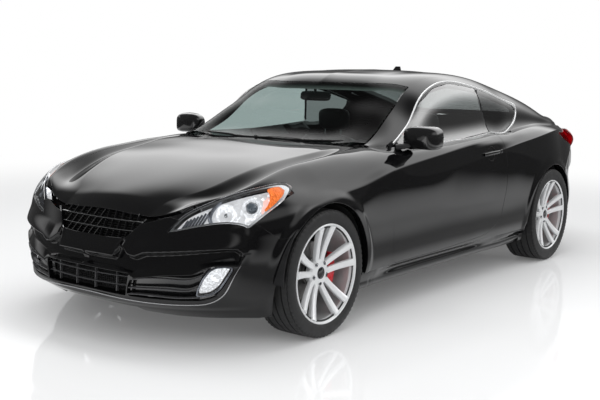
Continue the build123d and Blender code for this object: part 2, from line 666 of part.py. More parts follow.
with BuildPart() as floor_pan:
    body_block(BULKHEAD_X, FIREWALL_X + 25, -800, 800, FLOOR_Z, FLOOR_Z + FLOOR_WALL)
    body_block(FIREWALL_X, FIREWALL_X + 25, -730, 730, FLOOR_Z, PILLAR_TOP_Z)
    body_block(FIREWALL_X, FIREWALL_X + 25, -640, 640, PILLAR_TOP_Z, FIREWALL_TOP)
    body_block(-900, FIREWALL_X, -TUNNEL_HALF, TUNNEL_HALF, FLOOR_Z, TUNNEL_TOP_Z)
    body_block(BULKHEAD_X - 20, BULKHEAD_X, -REAR_FLOOR_HALF, REAR_FLOOR_HALF, FLOOR_Z, 760)
    body_block(TAIL_CORNER_X, BULKHEAD_X, -REAR_FLOOR_HALF, REAR_FLOOR_HALF, BOOT_FLOOR_Z, BOOT_FLOOR_Z + 20)
    body_block(TAIL_PANEL_X, TAIL_CORNER_X, -480, 480, BOOT_FLOOR_Z, BOOT_FLOOR_Z + 20)
    body_blocks(TAIL_CORNER_X, BULKHEAD_X, REAR_FLOOR_HALF - 15, REAR_FLOOR_HALF, BOOT_FLOOR_Z, 760)
    body_block(TAIL_PANEL_X, TAIL_PANEL_X + 20, -535, 535, 300, 650)
    body_blocks(FIREWALL_X, NOSE_PANEL_X + 20, RAIL_INNER_Y, RAIL_OUTER_Y, RAIL_Z, RAIL_TOP_Z)
    body_blocks(TAIL_PANEL_X, BULKHEAD_X, 400, 460, 340, BOOT_FLOOR_Z)
    body_block(NOSE_PANEL_X, NOSE_PANEL_X + 20, -560, 560, 250, 560)
    body_blocks(NOSE_PANEL_X, NOSE_PANEL_X + 20, BUFFER_Y - 15, BUFFER_Y + 15, 555, 760)
    body_block(LATCH_X, TAIL_PANEL_X + 5, -20, 20, 600, 620)
    body_block(LATCH_X, LATCH_X + 45, -20, 20, 600, 730)
    for piece in (body_side.part, right_body_side, rear_bumper.part, front_bumper.part):
        add(piece, mode=Mode.SUBTRACT)
    add(hood.part.moved(Location((0, 0, -REST_GAP))), mode=Mode.SUBTRACT)
    add(boot.part.moved(Location((REST_GAP, 0, 0))), mode=Mode.SUBTRACT)
write(floor_pan.part.solids().sort_by(SortBy.VOLUME)[-1], "floor_pan")


def liner(axle_x, tyre_radius, inner_y, outer_y, outer_panels):
    """Wheel arch liner over one left wheel: a half tube with a wall towards the car's middle."""
    outer_radius = tyre_radius + ARCH_GAP + 12
    with BuildPart() as shell:
        with BuildSketch(Plane.XZ.offset(-inner_y)):
            with Locations((axle_x, tyre_radius)):
                Circle(outer_radius)
        extrude(amount=-(outer_y - inner_y))
        with BuildSketch(Plane.XZ.offset(-inner_y - 5)):
            with Locations((axle_x, tyre_radius)):
                Circle(outer_radius - 5)
        extrude(amount=-(outer_y - inner_y), mode=Mode.SUBTRACT)
        block(axle_x - 500, axle_x + 500, inner_y - 5, outer_y + 20, -200, tyre_radius, Mode.SUBTRACT)
        for panel in outer_panels:
            add(panel, mode=Mode.SUBTRACT)
    return shell.part.solids().sort_by(SortBy.VOLUME)[-1]


LINER_OUTER_Y = across(915)
REAR_WELL_Y = across(REAR_FLOOR_HALF) + 5
with BuildPart() as front_arch_liners:
    front_panels = [fender.part, front_bumper.part, headlamps.part]
    add(liner(FRONT_AXLE_X, FRONT_TYRE_RADIUS, across(RAIL_OUTER_Y), LINER_OUTER_Y, front_panels))
    mirror(about=Plane.XZ)
write(front_arch_liners.part, "front_arch_liners")
with BuildPart() as rear_arch_liners:
    add(liner(REAR_AXLE_X, REAR_TYRE_RADIUS, REAR_WELL_Y, LINER_OUTER_Y, [body_side.part, rear_bumper.part]))
    block(
        REAR_AXLE_X - 70, REAR_AXLE_X + 70, REAR_WELL_Y - 15, REAR_WELL_Y + 10, REAR_TYRE_RADIUS - 39,
        REAR_TYRE_RADIUS + 71, Mode.SUBTRACT,
    )
    mirror(about=Plane.XZ)
write(rear_arch_liners.part, "rear_arch_liners")

# Engine between the rails.
with BuildPart() as engine:
    body_block(1080, 1760, -RAIL_INNER_Y, RAIL_INNER_Y, 230, 740)
write(engine.part, "engine")

# Front crossmember under the rails, with the two lower arms.
ARM_Z, ARM_WALL, ARM_HALF_WIDTH = 130.0, 22.0, 25.0
KINGPIN_Y = FRONT_WHEEL_Y - 20
MEMBER_HALF = across(480)
with BuildPart() as front_crossmember:
    block(FRONT_AXLE_X - 90, FRONT_AXLE_X + 90, -MEMBER_HALF, MEMBER_HALF, ARM_Z, 226)
    blocks_both_sides(
        FRONT_AXLE_X - 60, FRONT_AXLE_X + 60, across(RAIL_INNER_Y), across(RAIL_OUTER_Y), 220, RAIL_Z
    )
    blocks_both_sides(
        FRONT_AXLE_X - ARM_HALF_WIDTH, FRONT_AXLE_X + ARM_HALF_WIDTH, MEMBER_HALF - 10, KINGPIN_Y, ARM_Z,
        ARM_Z + ARM_WALL,
    )
    with Locations((FRONT_AXLE_X, KINGPIN_Y, ARM_Z), (FRONT_AXLE_X, -KINGPIN_Y, ARM_Z)):
        Cylinder(28, ARM_WALL, align=ON_FACE)
write(front_crossmember.part, "front_crossmember")

# Rear axle: a cross tube with a spindle into each hub and two arms up to the rails.
SPINDLE_RADIUS = HUB_BORE - BEARING_GAP
FRONT_HUB_Y = FRONT_WHEEL_Y + 67.0          # outer faces of the hubs
REAR_HUB_Y = REAR_WHEEL_Y + 72.0
HUB_LENGTH = 60.0
CALIPER_GAP = 6.0           # disc or barrel to caliper
CALIPER_WALL = 18.0
REAR_CALIPER_BACK_Y = REAR_HUB_Y - HUB_LENGTH - DISC_THICKNESS - CALIPER_GAP - 2 * CALIPER_WALL
with BuildPart() as rear_axle:
    with Locations(Location((REAR_AXLE_X, 0, REAR_TYRE_RADIUS), (90, 0, 0))):
        Cylinder(38, 2 * across(680))
        Cylinder(SPINDLE_RADIUS, 2 * REAR_HUB_Y - 20)
    blocks_both_sides(
        REAR_AXLE_X - 30, REAR_AXLE_X + 30, across(405), across(455), REAR_TYRE_RADIUS - 30,
        REAR_TYRE_RADIUS + 20,
    )
    blocks_both_sides(
        REAR_AXLE_X - 140, REAR_AXLE_X, REAR_CALIPER_BACK_Y - 20, REAR_CALIPER_BACK_Y, REAR_TYRE_RADIUS - 25,
        REAR_TYRE_RADIUS + 25,
    )
    add(floor_pan.part, mode=Mode.SUBTRACT)
write(rear_axle.part, "rear_axle")

# ---------------------------------------------------------------- wheels
SPOKE_PAIRS = 5
SPOKE_WIDTH, SPOKE_DEPTH = 24.0, 26.0
SPOKE_SPREAD = 11.0         # degrees each side of a pair's middle
HUB_RADIUS = 75.0
FLANGE_LIP = 10.0
TREAD_ROUND = 22.0


def rim_part(width, middle_y, hub_y):
    """Left rim about the Y axis through the origin: barrel, split spokes and hub with its bore."""
    outer_y = middle_y + width / 2
    inner_y = middle_y - width / 2
    barrel = RIM_RADIUS - FLANGE_LIP
    with BuildPart() as rim:
        with BuildSketch(Plane.XZ.offset(-inner_y)):
            Circle(barrel)
            Circle(barrel - BARREL_WALL, mode=Mode.SUBTRACT)
        extrude(amount=-width)
        for y in (inner_y, outer_y - FLANGE_LIP):
            with BuildSketch(Plane.XZ.offset(-y)):
                Circle(RIM_RADIUS)
                Circle(barrel - BARREL_WALL, mode=Mode.SUBTRACT)
            extrude(amount=-FLANGE_LIP)
        with BuildSketch(Plane.XZ.offset(-(hub_y - HUB_LENGTH))):
            Circle(HUB_RADIUS)
        extrude(amount=-HUB_LENGTH)
        with BuildSketch(Plane.XZ.offset(-(hub_y - SPOKE_DEPTH))):
            with PolarLocations(0, SPOKE_PAIRS, start_angle=90):
                for side in (-1, 1):
                    with Locations(Location((0, 0, 0), side * SPOKE_SPREAD)):
                        with Locations((barrel / 2, 0)):
                            Rectangle(barrel - 4, SPOKE_WIDTH)
        extrude(amount=-SPOKE_DEPTH)
        with BuildSketch(Plane.XZ.offset(-(hub_y - HUB_LENGTH))):
            Circle(HUB_BORE)
        extrude(amount=-HUB_LENGTH + 8, mode=Mode.SUBTRACT)
    return rim.part


def tyre_part(width, radius, middle_y, rim_width):
    """Left tyre about the Y axis through the origin, seated between the rim's flanges."""
    barrel = RIM_RADIUS - FLANGE_LIP
    seat = rim_width / 2 - FLANGE_LIP
    with BuildPart() as tyre:
        with BuildSketch(Plane.XY):
            with BuildLine():
                Polyline(
                    (barrel, middle_y - seat), (RIM_RADIUS + 1, middle_y - seat),
                    (RIM_RADIUS + 26, middle_y - width / 2), (radius - TREAD_ROUND, middle_y - width / 2 + 3),
                    (radius - 5, middle_y - width / 2 + 14), (radius, middle_y - width / 2 + 30),
                    (radius, middle_y + width / 2 - 30), (radius - 5, middle_y + width / 2 - 14),
                    (radius - TREAD_ROUND, middle_y + width / 2 - 3), (RIM_RADIUS + 26, middle_y + width / 2),
                    (RIM_RADIUS + 1, middle_y + seat), (barrel, middle_y + seat), close=True,
                )
            make_face()
        revolve(axis=Axis.Y)
    return tyre.part


def disc_part(hub_y):
    """Left brake disc about the Y axis through the origin, against the back of the hub."""
    with BuildPart() as disc:
        with BuildSketch(Plane.XZ.offset(-(hub_y - HUB_LENGTH - DISC_THICKNESS))):
            Circle(DISC_RADIUS)
            Circle(HUB_BORE, mode=Mode.SUBTRACT)
        extrude(amount=-DISC_THICKNESS)
    return disc.part


FRONT_RIM_WIDTH, REAR_RIM_WIDTH = 220.0, 230.0
WHEELS = (
    # name, axle x, tyre radius, tyre width, middle y, rim width, hub face y
    ("front", FRONT_AXLE_X, FRONT_TYRE_RADIUS, FRONT_TYRE_WIDTH, FRONT_WHEEL_Y, FRONT_RIM_WIDTH, FRONT_HUB_Y),
    ("rear", REAR_AXLE_X, REAR_TYRE_RADIUS, REAR_TYRE_WIDTH, REAR_WHEEL_Y, REAR_RIM_WIDTH, REAR_HUB_Y),
)
for end, axle_x, radius, width, middle_y, rim_width, hub_y in WHEELS:
    centre = Location((axle_x, 0, radius))
    pieces = (
        ("rim", rim_part(rim_width, middle_y, hub_y)),
        ("tyre", tyre_part(width, radius, middle_y, rim_width)),
        ("brake_disc", disc_part(hub_y)),
    )
    for name, piece in pieces:
        placed = piece.moved(centre)
        write(placed, f"{end}_left_{name}")
        write(mirror(placed, about=Plane.XZ, mode=Mode.PRIVATE), f"{end}_right_{name}")

# ---------------------------------------------------------------- knuckles and calipers
CALIPER_HALF_HEIGHT = 75.0


def caliper_part(axle_x, axle_z, hub_y, behind):
    """Caliper that straddles the left disc's edge, ahead of or behind the axle."""
    disc_outer_y = hub_y - HUB_LENGTH
    disc_inner_y = disc_outer_y - DISC_THICKNESS
    barrel_inside = RIM_RADIUS - FLANGE_LIP - BARREL_WALL - CALIPER_GAP
    x_in = DISC_RADIUS - 62
    x_out = min(DISC_RADIUS + 32, math.sqrt(barrel_inside ** 2 - CALIPER_HALF_HEIGHT ** 2))
    y_in, y_out = disc_inner_y - CALIPER_GAP - 2 * CALIPER_WALL, disc_outer_y + CALIPER_GAP + CALIPER_WALL
    with BuildPart() as caliper:
        x0, x1 = sorted((axle_x + behind * x_in, axle_x + behind * x_out))
        block(x0, x1, y_in, y_out, axle_z - CALIPER_HALF_HEIGHT, axle_z + CALIPER_HALF_HEIGHT)
        with BuildSketch(Plane.XZ.offset(-(disc_inner_y - CALIPER_GAP))):
            with Locations((axle_x, axle_z)):
                Circle(DISC_RADIUS + CALIPER_GAP)
        extrude(amount=-(DISC_THICKNESS + 2 * CALIPER_GAP), mode=Mode.SUBTRACT)
    return caliper.part


# Front caliper behind the axle, rear caliper behind the axle too.
front_caliper = caliper_part(FRONT_AXLE_X, FRONT_TYRE_RADIUS, FRONT_HUB_Y, -1)
rear_caliper = caliper_part(REAR_AXLE_X, REAR_TYRE_RADIUS, REAR_HUB_Y, -1)
write_pair(front_caliper, "front_caliper")
with BuildPart() as rear_calipers:
    add(rear_caliper)
    mirror(about=Plane.XZ)
write(rear_calipers.part, "rear_calipers")

# Knuckle: upright on the lower arm, spindle into the hub and a bracket to the caliper.
CALIPER_BACK_Y = FRONT_HUB_Y - HUB_LENGTH - DISC_THICKNESS - CALIPER_GAP - 2 * CALIPER_WALL
FOOT_Z = ARM_Z + ARM_WALL + 0.5
with BuildPart() as knuckle:
    block(
        FRONT_AXLE_X - 30, FRONT_AXLE_X + 30, CALIPER_BACK_Y - 30, CALIPER_BACK_Y, FOOT_Z,
        FRONT_TYRE_RADIUS + 110,
    )
    block(FRONT_AXLE_X - 150, FRONT_AXLE_X, CALIPER_BACK_Y - 30, CALIPER_BACK_Y, FRONT_TYRE_RADIUS - 25,
          FRONT_TYRE_RADIUS + 25)
    block(FRONT_AXLE_X - 22, FRONT_AXLE_X + 22, CALIPER_BACK_Y - 30, KINGPIN_Y + 20, FOOT_Z, FOOT_Z + 17)
    with Locations(Location((FRONT_AXLE_X, CALIPER_BACK_Y, FRONT_TYRE_RADIUS), (-90, 0, 0))):
        Cylinder(SPINDLE_RADIUS, FRONT_HUB_Y - 12 - CALIPER_BACK_Y, align=ON_FACE)
        Cylinder(HUB_BORE + 15, 24, align=ON_FACE)
write_pair(knuckle.part, "knuckle")

# ---------------------------------------------------------------- exhaust and underbody
with BuildPart() as exhaust:
    body_block(-2050, -1800, -560, -300, 230, 320)
    with Locations(Location((along(-2180), across(-430), 262), (0, 90, 0))):
        Cylinder(38, 300)
    body_block(-1950, -1900, -440, -420, 310, BOOT_FLOOR_Z)
    add(rear_bumper.part, mode=Mode.SUBTRACT)
    add(floor_pan.part, mode=Mode.SUBTRACT)
write(exhaust.part.solids().sort_by(SortBy.VOLUME)[-1], "exhaust")

# ---------------------------------------------------------------- cabin
FLOOR_TOP_Z = FLOOR_Z + FLOOR_WALL
SEAT_Y, SEAT_HALF = across(370), 250.0
STEER_AXIS_TILT = 24.0      # degrees above level
STEER_WHEEL_X, STEER_WHEEL_Z = along(335), 755.0
STEER_WHEEL_RADIUS, STEER_RIM = 180.0, 15.0
COLUMN_GAP = 0.5

# Dashboard on the firewall.
DASHBOARD_HALF = across(640)
DASHBOARD_OUTLINE = fitted(
    ((FIREWALL_X, 600), (FIREWALL_X, 890), (560, 905), (460, 880), (440, 800), (520, 620)), (0,)
)
with BuildPart() as dashboard:
    with BuildSketch(Plane.XZ.offset(-DASHBOARD_HALF)):
        with BuildLine():
            Polyline(*DASHBOARD_OUTLINE, close=True)
        make_face()
    extrude(amount=2 * DASHBOARD_HALF)
    add(body_side.part, mode=Mode.SUBTRACT)
    add(right_body_side, mode=Mode.SUBTRACT)
write(dashboard.part.solids().sort_by(SortBy.VOLUME)[-1], "dashboard")


def steer_place(along_axis):
    """Place on the steering axis, a distance behind the wheel's middle, with z along the axis."""
    tilt = math.radians(STEER_AXIS_TILT)
    x = STEER_WHEEL_X - along_axis * math.cos(tilt)
    z = STEER_WHEEL_Z + along_axis * math.sin(tilt)
    return Location((x, SEAT_Y, z), (0, STEER_AXIS_TILT - 90, 0))


with BuildPart() as steering_column:
    with Locations(steer_place(-60)):
        Cylinder(32, 140, align=(Align.CENTER, Align.CENTER, Align.MAX))
    add(dashboard.part, mode=Mode.SUBTRACT)
write(steering_column.part.solids().sort_by(Axis.X)[0], "steering_column")
with BuildPart() as steering_wheel:
    with Locations(steer_place(0)):
        Torus(STEER_WHEEL_RADIUS, STEER_RIM)
        Cylinder(60, 36)
        Box(2 * STEER_WHEEL_RADIUS, 34, 12)
        with Locations((-STEER_WHEEL_RADIUS / 2, 0, 0)):
            Box(STEER_WHEEL_RADIUS, 34, 12)
        Cylinder(26, 60 - COLUMN_GAP, align=(Align.CENTER, Align.CENTER, Align.MAX))
write(steering_wheel.part, "steering_wheel")


def seat(front_x, rear_x, half, cushion_z, back_top, y, head_half):
    """Seat with cushion, leaning back and head restraint, on a base from the floor."""
    with BuildPart() as seat_piece:
        with BuildSketch(Plane.XZ.offset(-(y - half))):
            with BuildLine():
                Polyline(
                    (front_x, cushion_z - 110), (front_x, cushion_z), (rear_x + 130, cushion_z - 40),
                    (rear_x - 40, back_top), (rear_x - 140, back_top - 10), (rear_x, cushion_z - 130),
                    close=True,
                )
            make_face()
        extrude(amount=-2 * half)
        with BuildSketch(Plane.XZ.offset(-(y - head_half))):
            with BuildLine():
                Polyline(
                    (rear_x - 40, back_top - 10), (rear_x - 70, back_top + 150),
                    (rear_x - 150, back_top + 150), (rear_x - 140, back_top - 20), close=True,
                )
            make_face()
        extrude(amount=-2 * head_half)
    return seat_piece.part


SEAT_FRONT_X, SEAT_LENGTH = along(290), 520.0
SEAT_REAR_X = SEAT_FRONT_X - SEAT_LENGTH
with BuildPart() as front_seats:
    add(seat(SEAT_FRONT_X, SEAT_REAR_X, SEAT_HALF, 450, 960, SEAT_Y, 130))
    block(SEAT_REAR_X + 80, SEAT_FRONT_X - 90, SEAT_Y - 180, SEAT_Y + 180, FLOOR_TOP_Z, 350)
    mirror(about=Plane.XZ)
write(front_seats.part, "front_seats")

REAR_SEAT_HALF = across(560)
REAR_SEAT_OUTLINE = fitted((
    (-500, FLOOR_TOP_Z), (-500, 430), (-820, 400), (-955, 900), (BULKHEAD_X, 900), (BULKHEAD_X, FLOOR_TOP_Z),
), (0,))
with BuildPart() as rear_seat:
    with BuildSketch(Plane.XZ.offset(REAR_SEAT_HALF)):
        with BuildLine():
            Polyline(*REAR_SEAT_OUTLINE, close=True)
        make_face()
    extrude(amount=-2 * REAR_SEAT_HALF)
    body_block(-1000, -400, -TUNNEL_HALF - 5, TUNNEL_HALF + 5, 0, TUNNEL_TOP_Z + 1, Mode.SUBTRACT)
write(rear_seat.part, "rear_seat")

with BuildPart() as centre_console:
    body_block(-420, 520, -TUNNEL_HALF, TUNNEL_HALF, TUNNEL_TOP_Z, 520)
    add(dashboard.part, mode=Mode.SUBTRACT)
    add(floor_pan.part, mode=Mode.SUBTRACT)
write(centre_console.part.solids().sort_by(SortBy.VOLUME)[-1], "centre_console")

# Cabin mirror on the inside of the windscreen.
with BuildPart() as cabin_mirror:
    body_block(395, 415, -120, 120, 1170, 1235)
    body_block(400, 412, -12, 12, 1225, 1300)
    body_block(400, 470, -12, 12, 1232, 1244)
    add(windscreen_glass, mode=Mode.SUBTRACT)
write(cabin_mirror.part.solids().sort_by(Axis.Z)[0], "cabin_mirror")

# Cowl under the windscreen's foot, and the two wipers on the glass above it.
COWL_FRONT_X, COWL_REAR_X, COWL_HALF = along(862), along(800), across(688)
COWL_Z, COWL_HEIGHT = 870.0, 57.0
with BuildPart() as cowl:
    with BuildSketch(Plane.XY.offset(COWL_Z)):
        with BuildLine():
            ThreePointArc((COWL_FRONT_X, -COWL_HALF), (along(960), 0), (COWL_FRONT_X, COWL_HALF))
            Line((COWL_FRONT_X, COWL_HALF), (COWL_REAR_X, COWL_HALF))
            ThreePointArc((COWL_REAR_X, COWL_HALF), (along(880), 0), (COWL_REAR_X, -COWL_HALF))
            Line((COWL_REAR_X, -COWL_HALF), (COWL_FRONT_X, -COWL_HALF))
        make_face()
    extrude(amount=COWL_HEIGHT)
    for piece in (windscreen_glass, body_side.part, right_body_side, floor_pan.part, dashboard.part):
        add(piece, mode=Mode.SUBTRACT)
    add(fender.part, mode=Mode.SUBTRACT)
    add(mirror(fender.part, about=Plane.XZ, mode=Mode.PRIVATE), mode=Mode.SUBTRACT)
write(cowl.part.solids().sort_by(SortBy.VOLUME)[-1], "cowl")

WIPER_START, WIPER_END, WIPER_WALL = 0.03, 0.06, 12.0
WIPER_SPANS = ((across(-590), across(-40)), (across(20), across(560)))
WIPER_JOINTS_Y = (across(-400), 0, across(400))


def on_glass(y, share, lift):
    """Point on the windscreen at a half-width and a share of the way up, lifted off the glass."""
    x0, z0, x1, z1 = between(WINDSCREEN, abs(y), 1, 5)
    return (x0 + share * (x1 - x0), z0 + share * (z1 - z0) + lift)


with BuildPart() as wipers:
    for first_y, last_y in WIPER_SPANS:
        faces = []
        for y in [first_y] + [y for y in WIPER_JOINTS_Y if first_y < y < last_y] + [last_y]:
            low, high = on_glass(y, WIPER_START, 0), on_glass(y, WIPER_END, 0)
            raised = [(x, z + WIPER_WALL) for x, z in (high, low)]
            with BuildSketch(Plane.XZ.offset(-y), mode=Mode.PRIVATE) as face:
                with BuildLine():
                    Polyline(low, high, *raised, close=True)
                make_face()
            faces.append(face.sketch)
        loft(faces, ruled=True)
write(wipers.part, "wipers")
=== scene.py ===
import json
import math

import bpy
import numpy as np
from mathutils import Matrix, Vector

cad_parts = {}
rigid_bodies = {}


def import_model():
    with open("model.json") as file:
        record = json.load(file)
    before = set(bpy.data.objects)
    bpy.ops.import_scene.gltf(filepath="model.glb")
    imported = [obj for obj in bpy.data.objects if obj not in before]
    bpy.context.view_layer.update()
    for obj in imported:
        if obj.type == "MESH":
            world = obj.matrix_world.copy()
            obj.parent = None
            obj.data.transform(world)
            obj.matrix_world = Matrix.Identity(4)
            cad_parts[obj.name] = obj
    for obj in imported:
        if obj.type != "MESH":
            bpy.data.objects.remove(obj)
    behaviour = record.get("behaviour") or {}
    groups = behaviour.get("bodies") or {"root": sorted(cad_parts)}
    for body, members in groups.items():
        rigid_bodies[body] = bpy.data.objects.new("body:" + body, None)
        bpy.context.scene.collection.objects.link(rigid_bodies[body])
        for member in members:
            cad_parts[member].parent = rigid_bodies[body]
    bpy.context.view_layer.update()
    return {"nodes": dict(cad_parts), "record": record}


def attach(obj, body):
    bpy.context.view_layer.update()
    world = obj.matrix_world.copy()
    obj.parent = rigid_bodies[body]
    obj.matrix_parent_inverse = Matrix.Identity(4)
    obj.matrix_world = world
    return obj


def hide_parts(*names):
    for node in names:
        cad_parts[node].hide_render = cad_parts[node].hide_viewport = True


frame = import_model()

# Lengths are millimetres in the car's frame (+X forward, +Y left, +Z up) until a mesh is made.
MM = 0.001
FRONT_AXLE = (1485.0, 331.0)    # x, z
REAR_AXLE = (-1335.0, 339.0)
ARCH_GAP = 37.0
LIP_RADIUS = {FRONT_AXLE: 331.0 + ARCH_GAP, REAR_AXLE: 339.0 + ARCH_GAP}
SHUT = 4.5                      # gap between a moving panel and its neighbour
SEAM = 2.0                      # gap between fixed panels
TAIL_TOP = 985.0                # above this the tail rolls over into the deck
ROLL = 2.5                      # radius of a rolled panel edge
NOSE_TIP = 2315.0               # the CAD nose reaches this far, and the pieces no further
END_STATION = 1700.0            # outlines of the nose and the tail cut only beyond this |x|
OTHER_SIDE = np.array((1, -1, 1.0))    # factor from a left-hand shape to its mirror image
OTHER_FRONT = (-1, 1)                  # the same for an outline in front view
CREST, ROOF_EDGE = 6, 8         # rows of control points of the body's side
HANDS = ("left", "right")


# ------------------------------------------------------------------ curves and sheets
def natural(knots, values):
    """Smooth curve through rows of values at rising or falling knots, straight past its ends."""
    t = np.asarray(knots, float)
    order = np.argsort(t)
    t = t[order]
    v = np.asarray(values, float)[order].reshape(len(t), -1)
    h = np.diff(t)
    a = np.eye(len(t))
    b = np.zeros_like(v)
    for i in range(1, len(t) - 1):
        a[i, i - 1:i + 2] = h[i - 1], 2 * (h[i - 1] + h[i]), h[i]
        b[i] = 6 * ((v[i + 1] - v[i]) / h[i] - (v[i] - v[i - 1]) / h[i - 1])
    m = np.linalg.solve(a, b)
    single = np.asarray(values).ndim == 1

    def at(x):
        x = np.atleast_1d(np.asarray(x, float))
        c = np.clip(x, t[0], t[-1])
        i = np.clip(np.searchsorted(t, c) - 1, 0, len(t) - 2)
        d, e, hh = (c - t[i])[:, None], (t[i + 1] - c)[:, None], h[i][:, None]
        value = (m[i] * e**3 + m[i + 1] * d**3) / (6 * hh)
        value += (v[i] / hh - m[i] * hh / 6) * e + (v[i + 1] / hh - m[i + 1] * hh / 6) * d
        slope = (m[i + 1] * d**2 - m[i] * e**2) / (2 * hh) + (v[i + 1] - v[i]) / hh
        slope -= (m[i + 1] - m[i]) * hh / 6
        value += slope * (x - c)[:, None]
        return value[:, 0] if single else value

    return at


def smoothstep(low, high, x):
    """Smooth step from 0 to 1 between two levels."""
    t = np.clip((np.asarray(x, float) - low) / (high - low), 0, 1)
    return t * t * (3 - 2 * t)


def skin(rows, steps, sharp=None):
    """Grid through rows of control points: rows is stations x rows x 3, steps the divisions of
    each gap between rows, sharp how hard each row is creased, from 0 to 1."""
    n, k, _ = rows.shape
    sharp = np.zeros((n, k)) if sharp is None else sharp
    h = np.linalg.norm(np.diff(rows, axis=1), axis=2)[..., None] + 1e-9
    chord = np.diff(rows, axis=1) / h
    smooth = np.empty_like(rows)
    smooth[:, 1:-1] = (chord[:, :-1] * h[:, 1:] + chord[:, 1:] * h[:, :-1]) / (h[:, 1:] + h[:, :-1])
    smooth[:, 0], smooth[:, -1] = chord[:, 0], chord[:, -1]
    columns, place = [], []
    for i in range(k - 1):
        w0, w1 = sharp[:, i, None], sharp[:, i + 1, None]
        m0 = (smooth[:, i] * (1 - w0) + chord[:, i] * w0) * h[:, i]
        m1 = (smooth[:, i + 1] * (1 - w1) + chord[:, i] * w1) * h[:, i]
        last = i == k - 2
        for j in range(steps[i] + (1 if last else 0)):
            f = j / steps[i]
            a, b = 2 * f**3 - 3 * f**2 + 1, -2 * f**3 + 3 * f**2
            c, d = f**3 - 2 * f**2 + f, f**3 - f**2
            columns.append(a * rows[:, i] + b * rows[:, i + 1] + c * m0 + d * m1)
            place.append(i + f)
    return np.stack(columns, 1), np.array(place)


def grid_normals(grid):
    """Unit normals of a grid of points."""
    normal = np.cross(np.gradient(grid, axis=0), np.gradient(grid, axis=1))
    return normal / (np.linalg.norm(normal, axis=2, keepdims=True) + 1e-12)


def as_mesh(grid, place=None, flip=False):
    """Triangles of a grid as (vertices with normal and row place, triangles)."""
    n, k, _ = grid.shape
    normal = grid_normals(grid) * (-1 if flip else 1)
    s = np.broadcast_to(np.arange(k) if place is None else place, (n, k))
    v = np.concatenate([grid, normal, s[..., None]], 2).reshape(-1, 7)
    i = np.arange(n * k).reshape(n, k)
    a, b, c, d = i[:-1, :-1].ravel(), i[1:, :-1].ravel(), i[1:, 1:].ravel(), i[:-1, 1:].ravel()
    t = np.concatenate([np.stack([a, b, c], 1), np.stack([a, c, d], 1)])
    return v, (t[:, ::-1].copy() if flip else t)


def clip(mesh, field):
    """Keeps the part of a mesh where a field of its vertices is above zero, cut along its edge."""
    v, t = mesh
    f = field(v)
    f = np.where(np.abs(f) < 1e-6, 1e-6, f)
    inside = f > 0
    count = inside[t].sum(1)
    keep = t[count == 3]
    mixed = t[(count == 1) | (count == 2)]
    new_v, made, cut = [v], {}, []
    total = len(v)
    for tri in mixed:
        loop = []
        for i in range(3):
            a, b = int(tri[i]), int(tri[(i + 1) % 3])
            if inside[a]:
                loop.append(a)
            if inside[a] != inside[b]:
                key = (a, b) if a < b else (b, a)
                if key not in made:
                    p, q = key
                    w = f[p] / (f[p] - f[q])
                    made[key] = total
                    new_v.append((v[p] + (v[q] - v[p]) * w)[None])
                    total += 1
                loop.append(made[key])
        cut += [(loop[0], loop[i], loop[i + 1]) for i in range(1, len(loop) - 1)]
    t = np.concatenate([keep, np.array(cut, int).reshape(-1, 3)])
    v = np.concatenate(new_v)
    used = np.unique(t)
    index = np.zeros(len(v), int)
    index[used] = np.arange(len(used))
    return v[used], index[t]


def outline_field(outline, axes, grow=0.0):
    """Distance inside an outline seen along one axis, grown outward by an amount."""
    p = np.asarray(outline, float)
    q = np.roll(p, -1, 0)

    def field(v):
        x = v[:, axes]
        near = np.full(len(x), 1e9)
        inside = np.zeros(len(x), bool)
        for a, b in zip(p, q):
            ab, ax = b - a, x - a
            if not ab.any():
                continue
            w = np.clip(ax @ ab / (ab @ ab), 0, 1)
            near = np.minimum(near, np.hypot(*(ax - w[:, None] * ab).T))
            if a[1] != b[1]:
                crossing = (a[1] > x[:, 1]) != (b[1] > x[:, 1])
                inside ^= crossing & (x[:, 0] < a[0] + (x[:, 1] - a[1]) / (b[1] - a[1]) * ab[0])
        return np.where(inside, near, -near) + grow

    return field


def side(outline, grow=0.0):
    """Outline seen from the side."""
    return outline_field(outline, [0, 2], grow)


def beyond(outline, grow, station):
    """Front view outline, limited to what lies beyond a station."""
    field = outline_field(outline, [1, 2], grow)
    return lambda v: np.minimum(field(v), (v[:, 0] - station) * math.copysign(1, station))


def at_nose(outline, grow=0.0):
    """Front view outline on the nose."""
    return beyond(outline, grow, END_STATION)


def at_tail(outline, grow=0.0):
    """Front view outline on the tail."""
    return beyond(outline, grow, -END_STATION)


def plan(outline, grow=0.0):
    """Outline seen from above."""
    return outline_field(outline, [0, 1], grow)


def out_of(field):
    """The outside of a field."""
    return lambda v: -field(v)


def outside_arch(axle, grow=0.0):
    """Outside of the wheel arch round an axle."""
    return lambda v: np.hypot(v[:, 0] - axle[0], v[:, 2] - axle[1]) - LIP_RADIUS[axle] + grow


def rounded(points, radius):
    """Closed outline with its corners rounded, as far as its sides allow."""
    p = np.asarray(points, float)
    result = []
    for i in range(len(p)):
        a, b, c = p[i - 1], p[i], p[(i + 1) % len(p)]
        u, w = a - b, c - b
        lu, lw = np.linalg.norm(u), np.linalg.norm(w)
        u, w = u / lu, w / lw
        half = math.acos(float(np.clip(u @ w, -1, 1))) / 2
        r = radius[i] if hasattr(radius, "__len__") else radius
        reach = min(r / max(math.tan(half), 1e-3), 0.45 * lu, 0.45 * lw)
        for j in range(9):
            f = j / 8
            result.append(b + u * reach * (1 - f)**2 + w * reach * f**2)
    return np.array(result)


